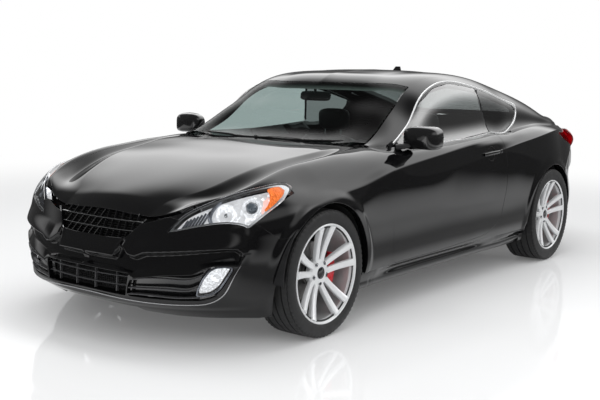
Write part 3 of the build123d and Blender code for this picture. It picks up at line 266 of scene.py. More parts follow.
def whole(points, radii, y=0):
    """Closed rounded outline from its left half; y is the column of the half-widths."""
    p = np.array(points, float)
    r = np.broadcast_to(np.array(radii, float), len(p))
    other = np.nonzero(p[:, y])[0][::-1]
    flip = np.where(np.arange(2) == y, -1, 1)
    return rounded(np.concatenate([p, p[other] * flip]), np.concatenate([r, r[other]]))


def trimmed(mesh, cuts):
    """Part of a mesh inside every one of several fields."""
    for cut in cuts:
        mesh = clip(mesh, cut)
    return mesh


def rolled(mesh, depth, roll=ROLL, back=True):
    """Panel with rolled edges and a wall: (vertices, normals, triangles, kind of each triangle).
    Kinds are 0 for the face, 1 for the edge wall and 2 for the back."""
    v, t = mesh
    p, n = v[:, :3], v[:, 3:6]
    n = n / (np.linalg.norm(n, axis=1, keepdims=True) + 1e-12)
    edges = np.concatenate([t[:, [0, 1]], t[:, [1, 2]], t[:, [2, 0]]])
    key = np.sort(edges, 1)
    key = key[:, 0] * len(v) + key[:, 1]
    _, first, times = np.unique(key, return_index=True, return_counts=True)
    rim = edges[first[times == 1]]
    ids = np.unique(rim)
    local = np.zeros(len(v), int)
    local[ids] = np.arange(len(ids))
    a, b = local[rim].T
    direction = p[rim[:, 1]] - p[rim[:, 0]]
    direction /= np.linalg.norm(direction, axis=1, keepdims=True) + 1e-12
    away = np.cross(direction, n[rim[:, 0]])
    out = np.zeros((len(ids), 3))
    np.add.at(out, a, away)
    np.add.at(out, b, away)
    out /= np.linalg.norm(out, axis=1, keepdims=True) + 1e-12

    def wall(ring, further):
        return np.concatenate([np.stack([ring[a], further[a], further[b]], 1),
                               np.stack([ring[a], further[b], ring[b]], 1)])

    verts, norms, tris, kinds = [p], [n], [t], [np.zeros(len(t), int)]
    ring, total = ids, len(p)
    steps = [(roll * math.sin(q), roll * (1 - math.cos(q)), q) for q in np.radians((30, 60, 90))]
    for along, down, turn in (*steps, (roll, depth, math.pi / 2)):
        verts.append(p[ids] + out * along - n[ids] * down)
        norms.append(n[ids] * math.cos(turn) + out * math.sin(turn))
        further = total + np.arange(len(ids))
        tris.append(wall(ring, further))
        kinds.append(np.full(2 * len(a), 1 if down == depth else 0))
        ring, total = further, total + len(ids)
    if back:
        verts.append(p - n * depth)
        norms.append(-n)
        tris += [t[:, ::-1] + total, wall(ring, total + ids)]
        kinds += [np.full(len(t), 2), np.full(2 * len(a), 1)]
    return np.concatenate(verts), np.concatenate(norms), np.concatenate(tris), np.concatenate(kinds)


# ------------------------------------------------------------------ meshes
def add_mesh(name, verts, faces, materials, body, normals=None, kinds=None):
    """Piece from millimetre vertices; materials are in the order of the faces' kinds."""
    mesh = bpy.data.meshes.new(name)
    faces = faces.tolist() if hasattr(faces, "tolist") else faces
    mesh.from_pydata((np.asarray(verts, float) * MM).tolist(), [], faces)
    for m in materials:
        mesh.materials.append(m)
    if kinds is not None:
        mesh.polygons.foreach_set("material_index", np.asarray(kinds, np.int32))
    mesh.polygons.foreach_set("use_smooth", np.ones(len(mesh.polygons), bool))
    if normals is not None:
        mesh.normals_split_custom_set_from_vertices(np.asarray(normals, float).tolist())
    mesh.update()
    obj = bpy.data.objects.new(name, mesh)
    bpy.context.scene.collection.objects.link(obj)
    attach(obj, body)
    return obj


def join(*meshes):
    """Several (vertices, triangles) in one."""
    v = np.concatenate([m[0] for m in meshes])
    offsets = np.cumsum([0] + [len(m[0]) for m in meshes[:-1]])
    return v, np.concatenate([m[1] + o for m, o in zip(meshes, offsets)])


def panel(name, mesh, cuts, body, materials, nodes=(), depth=14.0, roll=ROLL, back=True):
    """One piece cut from a sheet, with rolled edges."""
    verts, normals, tris, kinds = rolled(trimmed(mesh, cuts), depth, roll, back)
    obj = add_mesh(name, verts, tris, materials, body, normals, kinds)
    if nodes:
        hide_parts(*nodes)


def panel_pair(name, mesh, cuts, bodies, materials, nodes=(), depth=14.0, roll=ROLL, back=True):
    """A left-hand piece and its mirror image; nodes are named without their side."""
    verts, normals, tris, kinds = rolled(trimmed(mesh, cuts), depth, roll, back)
    for hand, body in zip(HANDS, bodies):
        if hand == "right":
            verts, tris, normals = verts * OTHER_SIDE, tris[:, ::-1], normals * OTHER_SIDE
        obj = add_mesh(f"{hand}_{name}", verts, tris, materials, body, normals, kinds)
        if nodes:
            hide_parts(*[f"{hand}_{node}" for node in nodes])


CAR = ("car_body", "car_body")
DOORS = ("left_front_door", "right_front_door")


# ------------------------------------------------------------------ body sheets
# Body side by station: x, half-widths at z 190, 330 and 520, then (y, z) of the haunch line, the
# character line, the shoulder and the crest.
SIDE = np.array((
    (1485, 870, 913, 925, 924, 640, 903, 730, 838, 800, 705, 882),
    (1320, 868, 908, 917, 915, 665, 900, 742, 848, 822, 704, 898),
    (1150, 862, 899, 906, 905, 690, 898, 757, 857, 842, 703, 914),
    (1000, 853, 891, 898, 899, 704, 895, 783, 861, 860, 704, 925),
    (860, 845, 885, 894, 897, 716, 892, 811, 860, 872, 712, 933),
    (700, 841, 882, 892, 896, 729, 888, 832, 858, 885, 764, 928),
    (480, 838, 880, 892, 896, 746, 884, 856, 858, 896, 786, 929),
    (257, 838, 880, 893, 896, 768, 882, 880, 857, 906, 795, 933),
    (0, 838, 880, 893, 895, 795, 875, 907, 850, 922, 797, 941),
    (-186, 838, 881, 894, 894, 819, 872, 921, 848, 936, 795, 951),
    (-400, 839, 882, 895, 893, 842, 868, 928, 845, 945, 790, 963),
    (-522, 841, 884, 897, 893, 855, 865, 930, 843, 950, 786, 968),
    (-700, 844, 887, 901, 894, 879, 862, 935, 840, 951, 783, 956),
    (-885, 848, 890, 907, 895, 901, 860, 950, 832, 965, 775, 976),
    (-1000, 851, 893, 913, 896, 914, 857, 957, 826, 974, 769, 986),
    (-1180, 858, 901, 923, 894, 935, 850, 968, 816, 984, 759, 996),
    (-1335, 866, 908, 929, 885, 951, 840, 973, 800, 988, 745, 1001),
    (-1550, 845, 897, 915, 848, 957, 806, 973, 768, 984, 722, 995),
    (-1750, 790, 862, 882, 795, 948, 763, 964, 735, 974, 697, 985),
    (-2000, 690, 772, 800, 712, 926, 690, 945, 670, 956, 645, 968),
    (-2200, 560, 620, 640, 590, 905, 575, 925, 565, 938, 552, 955),
))
# Upper body by station: x, (y, z) of the window line, (y, z) of the roof edge, roof centre z.
UPPER = np.array((
    (960, 700, 931, 690, 933, 934),
    (860, 706, 938, 684, 941, 955),
    (760, 736, 942, 676, 975, 1000),
    (660, 757, 954, 662, 1026, 1070),
    (560, 748, 992, 645, 1083, 1140),
    (460, 730, 1045, 628, 1138, 1205),
    (290, 700, 1180, 603, 1240, 1318),
    (110, 681, 1262, 592, 1306, 1352),
    (-140, 671, 1298, 590, 1334, 1372),
    (-460, 671, 1284, 592, 1327, 1372),
    (-700, 677, 1247, 597, 1299, 1349),
    (-880, 688, 1199, 604, 1264, 1313),
    (-1100, 704, 1145, 615, 1218, 1266),
    (-1335, 708, 1088, 625, 1165, 1210),
    (-1550, 697, 1048, 634, 1106, 1140),
    (-1750, 676, 1018, 634, 1049, 1070),
    (-2000, 632, 988, 605, 1010, 1036),
    (-2200, 548, 968, 530, 992, 1022),
    (-2330, 500, 955, 480, 974, 1004),
))
# Nose and tail plan curves by height: z, reach past the axle, fullness.
NOSE = np.array((
    (150, 700, 2.4), (190, 770, 2.35), (230, 812, 2.3), (262, 828, 2.3), (300, 830, 2.32), (360, 826, 2.4),
    (450, 800, 2.6), (560, 748, 2.8), (650, 705, 2.9), (730, 677, 2.6), (815, 610, 2.5), (870, 540, 2.5),
))
TAIL = np.array((
    (190, 880, 2.6), (300, 962, 2.65), (400, 974, 2.6), (480, 978, 2.5), (560, 976, 2.4), (640, 968, 2.32),
    (720, 958, 2.3), (800, 950, 2.3), (880, 950, 2.35), (975, 957, 2.4), (1020, 945, 2.4),
))
# Hood by station: x, (y, z) of the shoulder, the crest, the valley, the crease and the dome, centre z.
HOOD = np.array((
    (860, 860, 872, 712, 933, 668, 931, 630, 934, 330, 944, 948),
    (1000, 861, 860, 704, 925, 654, 922, 608, 930, 320, 940, 944),
    (1155, 857, 842, 703, 913, 664, 905, 604, 921, 312, 932, 934),
    (1300, 849, 824, 704, 899, 652, 882, 580, 902, 302, 913, 915),
    (1485, 838, 800, 705, 882, 644, 855, 552, 877, 290, 887, 888),
    (1600, 829, 785, 704, 866, 636, 832, 536, 857, 280, 865, 866),
    (1800, 800, 770, 699, 813, 610, 769, 488, 796, 255, 809, 812),
    (1955, 735, 715, 655, 757, 548, 722, 418, 739, 215, 756, 761),
    (2050, 665, 672, 598, 719, 470, 699, 336, 701, 176, 719, 727),
    (2120, 590, 640, 510, 676, 415, 664, 318, 663, 165, 682, 692),
    (2171, 520, 610, 440, 641, 372, 630, 305, 624, 152, 642, 650),
    (2215, 470, 585, 405, 612, 345, 602, 290, 594, 145, 610, 620),
))
HEIGHTS = (190, 330, 520)


def pairs(columns):
    """(y, z) columns as an array of points."""
    return columns.reshape(len(columns), -1, 2)


def with_x(x, yz):
    """Rows of (y, z) points with their stations added."""
    return np.concatenate([np.broadcast_to(x[:, None, None], yz.shape[:2] + (1,)), yz], 2)


side_at, upper_at, hood_at, nose_at, tail_at = (
    natural(table[:, 0], table[:, 1:]) for table in (SIDE, UPPER, HOOD, NOSE, TAIL))


def half_widths(x, z):
    """Body half-width at one station for several heights, along its section's lower rows."""
    row = side_at(x)[0]
    heights = np.concatenate([HEIGHTS, row[3:][1::2]])
    widths = np.concatenate([row[:3], row[3:][::2]])
    if x < 0:
        middle = 0.5 * (heights[2] + heights[3])
        heights = np.insert(heights, 3, middle)
        widths = np.insert(widths, 3, 0.5 * (widths[2] + widths[3]) + 20)
    return natural(heights, widths)(z)


def superellipse(half, reach, fullness, ahead):
    """Half-width some way ahead along a rounded end."""
    share = np.clip(ahead / reach, 0, 0.9999)
    return half * (1 - share**fullness) ** (1 / fullness)


def ended_width(x, z, axle_x, sign, ends):
    """Half-width at x beyond an axle, where the nose or tail rounds in."""
    half = half_widths(axle_x, z)
    reach, fullness = ends(z).T
    return superellipse(half, reach, fullness, sign * (x - axle_x))


def lower_rows(x):
    """Rows of the body side from the sill to the crest at several stations."""
    columns = side_at(np.minimum(x, FRONT_AXLE[0]))
    low = np.stack([columns[:, :3], np.broadcast_to(np.array(HEIGHTS, float), (len(x), 3))], 2)
    yz = np.concatenate([low, pairs(columns[:, 3:])], 1)
    for i in np.nonzero(x > FRONT_AXLE[0])[0]:
        hood = hood_at(x[i])[0]
        lean = (x[i] - FRONT_AXLE[0]) / 500
        z = np.array([190, 330, 520, 640 - 30 * lean, 730 - 75 * lean])
        yz[i, :5, 0] = ended_width(x[i], z, FRONT_AXLE[0], 1, nose_at)
        yz[i, :5, 1] = z
        yz[i, 5], yz[i, 6] = hood[:2], hood[2:4]
    for i in np.nonzero(x < REAR_AXLE[0])[0]:
        z = np.array(HEIGHTS, float)
        yz[i, :3, 0] = ended_width(x[i], z, REAR_AXLE[0], -1, tail_at)
    return with_x(x, yz)


def crease_weights(x, rows):
    """How hard the haunch and character lines are creased along the car."""
    w = np.zeros((len(x), rows))
    w[:, 3] = 0.85 * smoothstep(420, 100, x) * smoothstep(-1900, -1500, x)
    w[:, 4] = 0.95 * smoothstep(-420, -100, x) * smoothstep(1480, 1150, x)
    w[:, 6] = 0.7 * smoothstep(900, 700, x)
    return w


def stations(front_x, rear_x, step):
    """Evenly spaced stations, about a step apart."""
    return np.linspace(front_x, rear_x, int(abs(front_x - rear_x) / step) + 2)


def rear_sheet(front_x, rear_x, step=11.0):
    """Left half of the body from the sill up the door or quarter panel to the roof's middle."""
    x = stations(front_x, rear_x, step)
    wy, wz, ry, rz, cz = upper_at(x).T
    quarter = np.stack([ry * 0.56, rz + 0.76 * (cz - rz)], 1)
    centre = np.stack([0 * cz, cz], 1)
    high = with_x(x, np.stack([np.stack([wy, wz], 1), np.stack([ry, rz], 1), quarter, centre], 1))
    rows = np.concatenate([lower_rows(x), high], 1)
    return skin(rows, (13, 16, 16, 11, 6, 9, 26, 9, 26, 26), crease_weights(x, rows.shape[1]))


def front_sheet(front_x, rear_x, step=9.0):
    """Left half of the front: wing up to the hood's crease."""
    x = stations(front_x, rear_x, step)
    hood = pairs(np.concatenate([hood_at(x), np.zeros((len(x), 1))], 1)[:, :10])
    rows = np.concatenate([lower_rows(x), with_x(x, hood[:, 2:4])], 1)
    return skin(rows, (13, 16, 16, 9, 8, 16, 7, 10), crease_weights(x, rows.shape[1]))


def hood_sheet(front_x, rear_x, step=11.0):
    """Both halves of the hood, from crest to crest."""
    x = stations(front_x, rear_x, step)
    columns = hood_at(x)
    yz = pairs(columns[:, :10])
    centre = np.stack([0 * x, columns[:, 10]], 1)[:, None]
    left = with_x(x, np.concatenate([yz, centre], 1))
    right = left[:, -2::-1] * OTHER_SIDE
    weights = np.zeros((len(x), 11))
    weights[:, 3] = weights[:, 7] = 0.97 * smoothstep(980, 1250, x)
    return skin(np.concatenate([left, right], 1), (8, 8, 10, 24, 16, 16, 24, 10, 8, 8), weights)


def plan_curve(z, axle, sign, ends, turns):
    """Left half of the nose or tail at some heights, from its side to its middle."""
    half = half_widths(axle[0], np.minimum(z, TAIL_TOP))
    reach, fullness = ends(z).T
    grid = np.zeros((len(turns), len(z), 3))
    for i, turn in enumerate(turns):
        grid[i, :, 0] = axle[0] + sign * reach * math.sin(turn) ** (2 / fullness)
        grid[i, :, 1] = half * math.cos(turn) ** (2 / fullness)
        grid[i, :, 2] = z
    return grid


def end_sheet(axle, sign, ends, low_z, high_z, step=7.0, count=150):
    """Both halves of the nose or the tail between two heights."""
    z = np.linspace(low_z, high_z, int((high_z - low_z) / step) + 2)
    turns = math.pi / 2 * np.linspace(0, 1, count) ** 0.85
    left = plan_curve(z, axle, sign, ends, turns)
    right = left[-2::-1] * OTHER_SIDE
    return np.concatenate([left, right], 0)


# ------------------------------------------------------------------ shutlines
DOOR = rounded(((716, 934), (800, 880), (848, 823), (850, 610), (818, 417), (800, 284), (293, 284),
                (-329, 305), (-520, 372), (-592, 608), (-588, 751), (-566, 850), (-520, 984),
                (-250, 990), (0, 975), (640, 960)),
               (12, 60, 60, 400, 300, 38, 600, 400, 160, 400, 300, 300, 10, 10, 10, 10))
GLASS_OPENING = rounded(((664, 940), (560, 990), (460, 1044), (290, 1180), (110, 1262), (-110, 1296),
                         (-400, 1268), (-600, 1233), (-830, 1182), (-1014, 1142), (-1020, 1092), (-950, 1030),
                         (-790, 978), (-650, 964), (-500, 972), (-10, 936)),
                        (10, 200, 300, 400, 400, 500, 400, 400, 400, 50, 60, 120, 200, 150, 60, 300))
WING = rounded(((1967, 640), (2078, 700), (2150, 1000), (716, 1000), (716, 925), (800, 880), (848, 823),
                (850, 610), (818, 417), (800, 300), (800, 278), (1140, 278), (1485, 326), (1500, 556),
                (1852, 556), (1880, 575)), (30, 10, 0, 0, 0, 60, 60, 400, 300, 20, 0, 0, 0, 0, 15, 20))
FRONT_BUMPER = rounded(((1600, 150), (2500, 150), (2500, 900), (2078, 700), (1967, 640), (1880, 575),
                        (1852, 556), (1700, 556)), (0, 0, 0, 0, 30, 20, 15, 0))
REAR_BUMPER = rounded(((-1600, 150), (-2500, 150), (-2500, 800), (-1905, 800), (-1862, 700), (-1700, 660)),
                      (0, 0, 0, 30, 60, 0))
TAIL_LAMP = rounded(((-1720, 952), (-1787, 916), (-1905, 812), (-2500, 801), (-2500, 920), (-2050, 944)),
                    (20, 60, 20, 0, 0, 80))
HEADLAMP = rounded(((458, 577), (517, 656), (575, 698), (634, 734), (689, 765), (738, 788), (779, 805),
                    (800, 808), (832, 787), (848, 760), (851, 719), (838, 678), (818, 639), (797, 612),
                    (786, 623), (763, 631), (721, 636), (670, 629), (596, 612), (515, 590)),
                   (5, 300, 300, 300, 300, 300, 60, 30, 30, 30, 60, 200, 200, 5, 20, 60, 200, 300, 300, 300))
AMBER_LENS = rounded(((774, 790), (802, 766), (819, 739), (826, 713), (823, 692), (840, 690), (852, 730),
                      (840, 776), (814, 800), (790, 800)), (10, 60, 60, 60, 8, 10, 60, 60, 20, 20))
HOOD_PLAN = whole(((2172, 0), (2168, 180), (2150, 350), (2112, 472), (2020, 605), (1940, 650), (1855, 672),
                   (1485, 686), (872, 690), (880, 500), (925, 250), (945, 0)),
                  (300, 300, 300, 60, 200, 200, 200, 600, 15, 600, 600, 600), y=1)
ROOF_PLAN = whole(((345, 0), (330, 300), (236, 588), (-690, 594), (-668, 300), (-655, 0)),
                  (500, 500, 8, 8, 400, 400), y=1)
SCREEN_PLAN = whole(((944, 0), (925, 250), (880, 500), (826, 692), (236, 592), (330, 300), (345, 0)),
                    (300, 300, 300, 10, 10, 300, 300), y=1)
LID_FACE = whole(((556, 1100), (556, 800), (420, 796), (385, 700)), (0, 12, 60, 30))
LID_PLAN = whole(((-2600, 560), (-1768, 560), (-1752, 300), (-1748, 0)), (0, 20, 400, 400), y=1)
REAR_GLASS_PLAN = whole(((-655, 0), (-668, 300), (-700, 576), (-1300, 600), (-1700, 590), (-1738, 560),
                         (-1750, 300), (-1754, 0)), (400, 400, 30, 600, 60, 60, 400, 400), y=1)
BEZEL = rounded(((310, 343), (335, 355), (476, 379), (612, 392), (654, 422), (700, 438), (757, 434),
                 (764, 420), (750, 385), (716, 324), (679, 278), (633, 262), (554, 259), (419, 260),
                 (308, 262), (291, 275), (298, 316)),
                (20, 60, 300, 60, 60, 60, 14, 14, 200, 200, 60, 60, 300, 300, 14, 14, 60))
FOG = rounded(((616, 284), (625, 316), (651, 370), (677, 410), (700, 427), (731, 431), (757, 426), (754, 410),
               (738, 378), (705, 321), (674, 293), (640, 285)),
              (6, 60, 100, 60, 40, 60, 8, 30, 100, 100, 60, 60))
UPPER_GRILLE = whole(((310, 680), (323, 630), (262, 558), (240, 534), (205, 526), (131, 523)),
                     (0, 6, 60, 20, 30, 300))
LOWER_GRILLE = whole(((0, 377), (306, 376), (294, 306), (288, 262), (0, 268)), (900, 8, 100, 10, 900))
DIFFUSER = whole(((620, 150), (600, 300), (470, 322), (300, 360)), (5, 30, 60, 30))
PLATE_PLACE = whole(((290, 520), (270, 672)), 22)
BLANK_PLATE = whole(((262, 534), (262, 656)), 12)
REAR_REFLECTOR = rounded(((560, 402), (560, 436), (730, 446), (730, 416)), 8)
DIVIDER = ((-440, 1262), (-520, 975))    # top and foot of the line between the side windows
MIDDLE_BOWL, OUTER_BOWL, FOG_BULB = (698, 686), (781, 714), (700, 365)    # (y, z) of the lamps' middles
# Ledge of the bumper: foot of the plate panel, notch beside it, cheek and outer end, as (|y|, z).
LEDGE = ((0, 441), (198, 443), (226, 526), (240, 526), (237, 494), (286, 459), (325, 453), (346, 462),
         (371, 474), (511, 489), (644, 505), (738, 515), (771, 512), (786, 497), (789, 478), (779, 434),
         (755, 385), (700, 320), (300, 320), (0, 320))
BROW = ((0, 405), (240, 401), (310, 386), (370, 406), (473, 427), (609, 444), (741, 453), (800, 455))
BROW_FOOT = ((0, 378), (300, 377), (335, 357), (476, 381), (610, 394), (654, 424), (700, 440), (800, 440))
LEDGE_TOP = ((0, 441), (198, 443), (240, 480), (300, 455), (371, 474), (511, 489), (644, 505), (780, 515))
LIP_LINE = ((0, 256), (143, 255), (240, 250), (454, 242), (590, 244), (661, 256), (700, 282), (743, 354),
            (782, 439), (803, 511), (802, 560), (797, 606))
BUMPER_FOOT = ((0, 206), (285, 193), (297, 169), (532, 153), (760, 151), (950, 185))


# ------------------------------------------------------------------ materials
def shader(name, colour, roughness=0.5, metallic=0.0, **sockets):
    """Material with one principled shader; sockets are set by their names with _ for a space."""
    m = bpy.data.materials.new(name)
    m.use_nodes = True
    m.diffuse_color = (*colour, 1)
    p = m.node_tree.nodes["Principled BSDF"]
    p.inputs["Base Color"].default_value = (*colour, 1)
    p.inputs["Roughness"].default_value = roughness
    p.inputs["Metallic"].default_value = metallic
    for key, value in sockets.items():
        p.inputs[key.replace("_", " ")].default_value = value
    return m, m.node_tree, p


def texture(tree, kind, scale, stretch=None, **values):
    """Procedural texture node in object coordinates, in repeats per metre."""
    n = tree.nodes.new(kind)
    source = tree.nodes.new("ShaderNodeTexCoord").outputs["Object"]
    if stretch:
        mapping = tree.nodes.new("ShaderNodeMapping")
        mapping.inputs["Scale"].default_value = stretch
        tree.links.new(source, mapping.inputs["Vector"])
        source = mapping.outputs["Vector"]
    tree.links.new(source, n.inputs["Vector"])
    n.inputs["Scale"].default_value = scale
    for key, value in values.items():
        n.inputs[key].default_value = value
    return n


def noise(tree, scale, detail, stretch=None):
    """Soft uneven pattern."""
    return texture(tree, "ShaderNodeTexNoise", scale, stretch, Detail=detail).outputs["Fac"]


def cells(tree, scale):
    """Distance from the middles of small cells."""
    return texture(tree, "ShaderNodeTexVoronoi", scale).outputs["Distance"]


def vary(tree, source, target, a, b, low=0.3, high=0.7):
    """Gives a socket a value or colour from a to b as a texture goes from low to high."""
    r = tree.nodes.new("ShaderNodeValToRGB")
    stops = r.color_ramp.elements
    stops[0].position, stops[1].position = low, high
    for stop, value in zip(stops, (a, b)):
        stop.color = (*(value if hasattr(value, "__len__") else (value,) * 3), 1)
    tree.links.new(source, r.inputs["Fac"])
    tree.links.new(r.outputs["Color"], target)


def bump(tree, source, target, distance):
    """Tilts a normal by a texture taken as a height in metres."""
    b = tree.nodes.new("ShaderNodeBump")
    b.inputs["Distance"].default_value = distance
    b.inputs["Strength"].default_value = 1.0
    tree.links.new(source, b.inputs["Height"])
    tree.links.new(b.outputs["Normal"], target)


def math_node(tree, operation, *values):
    """Result of a math node whose inputs are sockets or plain numbers."""
    node = tree.nodes.new("ShaderNodeMath")
    node.operation = operation
    for socket, value in zip(node.inputs, values):
        if isinstance(value, (int, float)):
            socket.default_value = value
        else:
            tree.links.new(value, socket)
    return node.outputs["Value"]


def eased(tree, source, low, high, start=0.0, end=1.0, kind="SMOOTHSTEP"):
    """Value that eases from start to end while a source goes from low to high."""
    node = tree.nodes.new("ShaderNodeMapRange")
    node.interpolation_type = kind
    for name, value in (("From Min", low), ("From Max", high), ("To Min", start), ("To Max", end)):
        node.inputs[name].default_value = value
    tree.links.new(source, node.inputs["Value"])
    return node.outputs["Result"]


def blend_shaders(tree, share, first, second):
    """Two shaders mixed by a share, a socket or a number, of the second."""
    node = tree.nodes.new("ShaderNodeMixShader")
    if isinstance(share, float):
        node.inputs["Fac"].default_value = share
    else:
        tree.links.new(share, node.inputs["Fac"])
    tree.links.new(first, node.inputs[1])
    tree.links.new(second, node.inputs[2])
    return node.outputs["Shader"]


def glowing(tree, strength=1.0):
    """White emission."""
    node = tree.nodes.new("ShaderNodeEmission")
    node.inputs["Strength"].default_value = strength
    return node.outputs["Emission"]


def tones(colour, spread):
    """A darker and a lighter tone of a colour."""
    return tuple(c * (1 - spread) for c in colour), tuple(min(c * (1 + spread), 1) for c in colour)


def uneven(name, colour, rough, spread, scale, metallic=0.0, grain=0.0, grain_scale=900, tint=0.0, **sockets):
    """Material whose roughness and colour vary a little, with a fine grain in its surface."""
    m, tree, p = shader(name, colour, rough, metallic, **sockets)
    cloud = noise(tree, scale, 4.0)
    vary(tree, cloud, p.inputs["Roughness"], max(rough - spread, 0), rough + spread)
    if tint:
        vary(tree, cloud, p.inputs["Base Color"], *tones(colour, tint))
    if grain:
        bump(tree, noise(tree, grain_scale, 2.0), p.inputs["Normal"], grain)
    return m


def black_paint():
    """Gloss black with a hint of metal flake under its clear coat."""
    m, tree, p = shader("black_paint", (0.0025, 0.0025, 0.003), 0.5, 0.0, Coat_Weight=1.0,
                        Coat_Roughness=0.012, Specular_IOR_Level=0.0)
    vary(tree, cells(tree, 2600), p.inputs["Base Color"], (0.006, 0.006, 0.007), (0.0022, 0.0022, 0.0025),
         0.0, 0.35)
    bump(tree, noise(tree, 160, 1.0), p.inputs["Coat Normal"], 0.000008)
    return m


def thin_glass(name, colour, reach, shine=1.0):
    """A pane modelled as one sheet: part see-through tint, part clear reflection."""
    m = bpy.data.materials.new(name)
    m.use_nodes = True
    m.diffuse_color = (*colour, 0.5)
    tree = m.node_tree
    tree.nodes.remove(tree.nodes["Principled BSDF"])
    see = tree.nodes.new("ShaderNodeBsdfTransparent")
    see.inputs["Color"].default_value = (*colour, 1)
    gloss = tree.nodes.new("ShaderNodeBsdfGlossy")
    gloss.inputs["Color"].default_value = (shine, shine, shine, 1)
    vary(tree, noise(tree, 6, 3.0), gloss.inputs["Roughness"], 0.004, 0.02, 0.3, 0.8)
    facing = tree.nodes.new("ShaderNodeLayerWeight")
    facing.inputs["Blend"].default_value = 0.5
    steep = math_node(tree, "POWER", facing.outputs["Facing"], 4.2)
    share = math_node(tree, "MULTIPLY_ADD", steep, 0.85, reach)
    pane = blend_shaders(tree, share, see.outputs["BSDF"], gloss.outputs["BSDF"])
    tree.links.new(pane, tree.nodes["Material Output"].inputs["Surface"])
    return m


def brushed(name, colour, rough, stretch):
    """Metal with fine lathe or brush lines."""
    m, tree, p = shader(name, colour, rough, 1.0)
    lines = noise(tree, 700, 3.0, stretch)
    vary(tree, lines, p.inputs["Roughness"], rough * 0.7, rough * 1.4)
    bump(tree, lines, p.inputs["Normal"], 0.00002)
    return m


def leather(name, colour):
    """Leather with pores and soft folds."""
    m, tree, p = shader(name, colour, 0.42, 0.0, Coat_Weight=0.1)
    folds = noise(tree, 24, 5.0)
    vary(tree, folds, p.inputs["Roughness"], 0.34, 0.52)
    vary(tree, folds, p.inputs["Base Color"], *tones(colour, 0.2))
    bump(tree, cells(tree, 520), p.inputs["Normal"], 0.0004)
    return m


def tyre_side():
    """Dusty tyre rubber with a fine grain."""
    m, tree, p = shader("tyre_rubber", (0.02, 0.02, 0.021), 0.62)
    dust = noise(tree, 30, 5.0)
    vary(tree, dust, p.inputs["Base Color"], (0.009, 0.009, 0.0095), (0.018, 0.018, 0.0185), 0.3, 0.75)
    vary(tree, dust, p.inputs["Roughness"], 0.5, 0.72)
    bump(tree, noise(tree, 1400, 1.0), p.inputs["Normal"], 0.00012)
    return m


PAINT = black_paint()
UNDERSIDE = uneven("panel_back", (0.012, 0.012, 0.013), 0.55, 0.1, 20, grain=0.0001)
PLASTIC = uneven("black_plastic", (0.016, 0.016, 0.017), 0.5, 0.08, 25, grain=0.00025, grain_scale=1500)
GLOSS_PLASTIC = uneven("gloss_black_plastic", (0.006, 0.006, 0.0065), 0.14, 0.05, 12, Coat_Weight=0.6)
SHADOW = uneven("shutline_shadow", (0.002, 0.002, 0.002), 0.9, 0.05, 30)
CHROME = uneven("chrome", (0.86, 0.87, 0.88), 0.05, 0.03, 18, metallic=1.0)
SATIN = brushed("satin_metal", (0.62, 0.63, 0.64), 0.28, (1, 1, 6))
SILVER = uneven("silver_wheel", (0.80, 0.81, 0.82), 0.34, 0.04, 8, metallic=0.35)
IRON = brushed("disc_iron", (0.24, 0.235, 0.23), 0.32, (9, 1, 9))
CALIPER = uneven("caliper_red", (0.62, 0.014, 0.026), 0.3, 0.08, 40, grain=0.00005, Coat_Weight=0.6, tint=0.1)
BARREL = uneven("wheel_barrel", (0.50, 0.505, 0.51), 0.36, 0.04, 8, metallic=0.5)
CAST = uneven("cast_steel", (0.03, 0.03, 0.031), 0.55, 0.12, 40, metallic=0.6, grain=0.0002, tint=0.3)
STEEL = uneven("steel", (0.36, 0.36, 0.37), 0.35, 0.1, 25, metallic=0.9, grain=0.00005, tint=0.15)
ALLOY = uneven("alloy", (0.30, 0.30, 0.31), 0.48, 0.1, 30, metallic=0.7, grain=0.0002, tint=0.2)
RUBBER = tyre_side()
LEATHER = leather("seat_leather", (0.012, 0.012, 0.013))
RED_LEATHER = leather("red_leather", (0.16, 0.010, 0.012))
PLATE = uneven("blank_plate", (0.55, 0.56, 0.57), 0.45, 0.05, 12)
CARPET = uneven("carpet", (0.012, 0.012, 0.013), 0.95, 0.03, 30, grain=0.0012, grain_scale=700, tint=0.3)
TRIM = uneven("soft_trim", (0.018, 0.018, 0.019), 0.62, 0.08, 20, grain=0.0004, grain_scale=1100)
LINING = uneven("headlining", (0.20, 0.195, 0.185), 0.92, 0.04, 25, grain=0.0005, grain_scale=1600, tint=0.06)
SIDE_GLASS = thin_glass("tinted_glass", (0.78, 0.84, 0.83), 0.20)
DARK_GLASS = thin_glass("privacy_glass", (0.30, 0.31, 0.31), 0.06)
SCREEN_GLASS = thin_glass("clear_glass", (0.48, 0.57, 0.555), 0.03, 0.42)
LAMP_GLASS = thin_glass("lamp_glass", (0.93, 0.94, 0.95), 0.04)
GREY_TRIM = uneven("dark_chrome", (0.42, 0.42, 0.43), 0.2, 0.05, 20, metallic=0.9)
FIN = uneven("fin_plastic", (0.055, 0.055, 0.058), 0.32, 0.06, 20, grain=0.0001, Coat_Weight=0.3)


def reflector(name, colour, facets, roughness=0.12):
    """Bright lamp reflector pressed into small facets; its emission is a painted glow, as no light shines in
    the lamp.
    """
    m, tree, p = shader(name, colour, roughness, 0.75, Specular_IOR_Level=0.6,
                        Emission_Color=(*colour, 1), Emission_Strength=0.50)
    bump(tree, cells(tree, facets), p.inputs["Normal"], 0.006)
    dark = tuple(c * 0.55 for c in colour)
    vary(tree, noise(tree, facets * 0.6, 2.0), p.inputs["Base Color"], dark, colour, 0.3, 0.62)
    return m
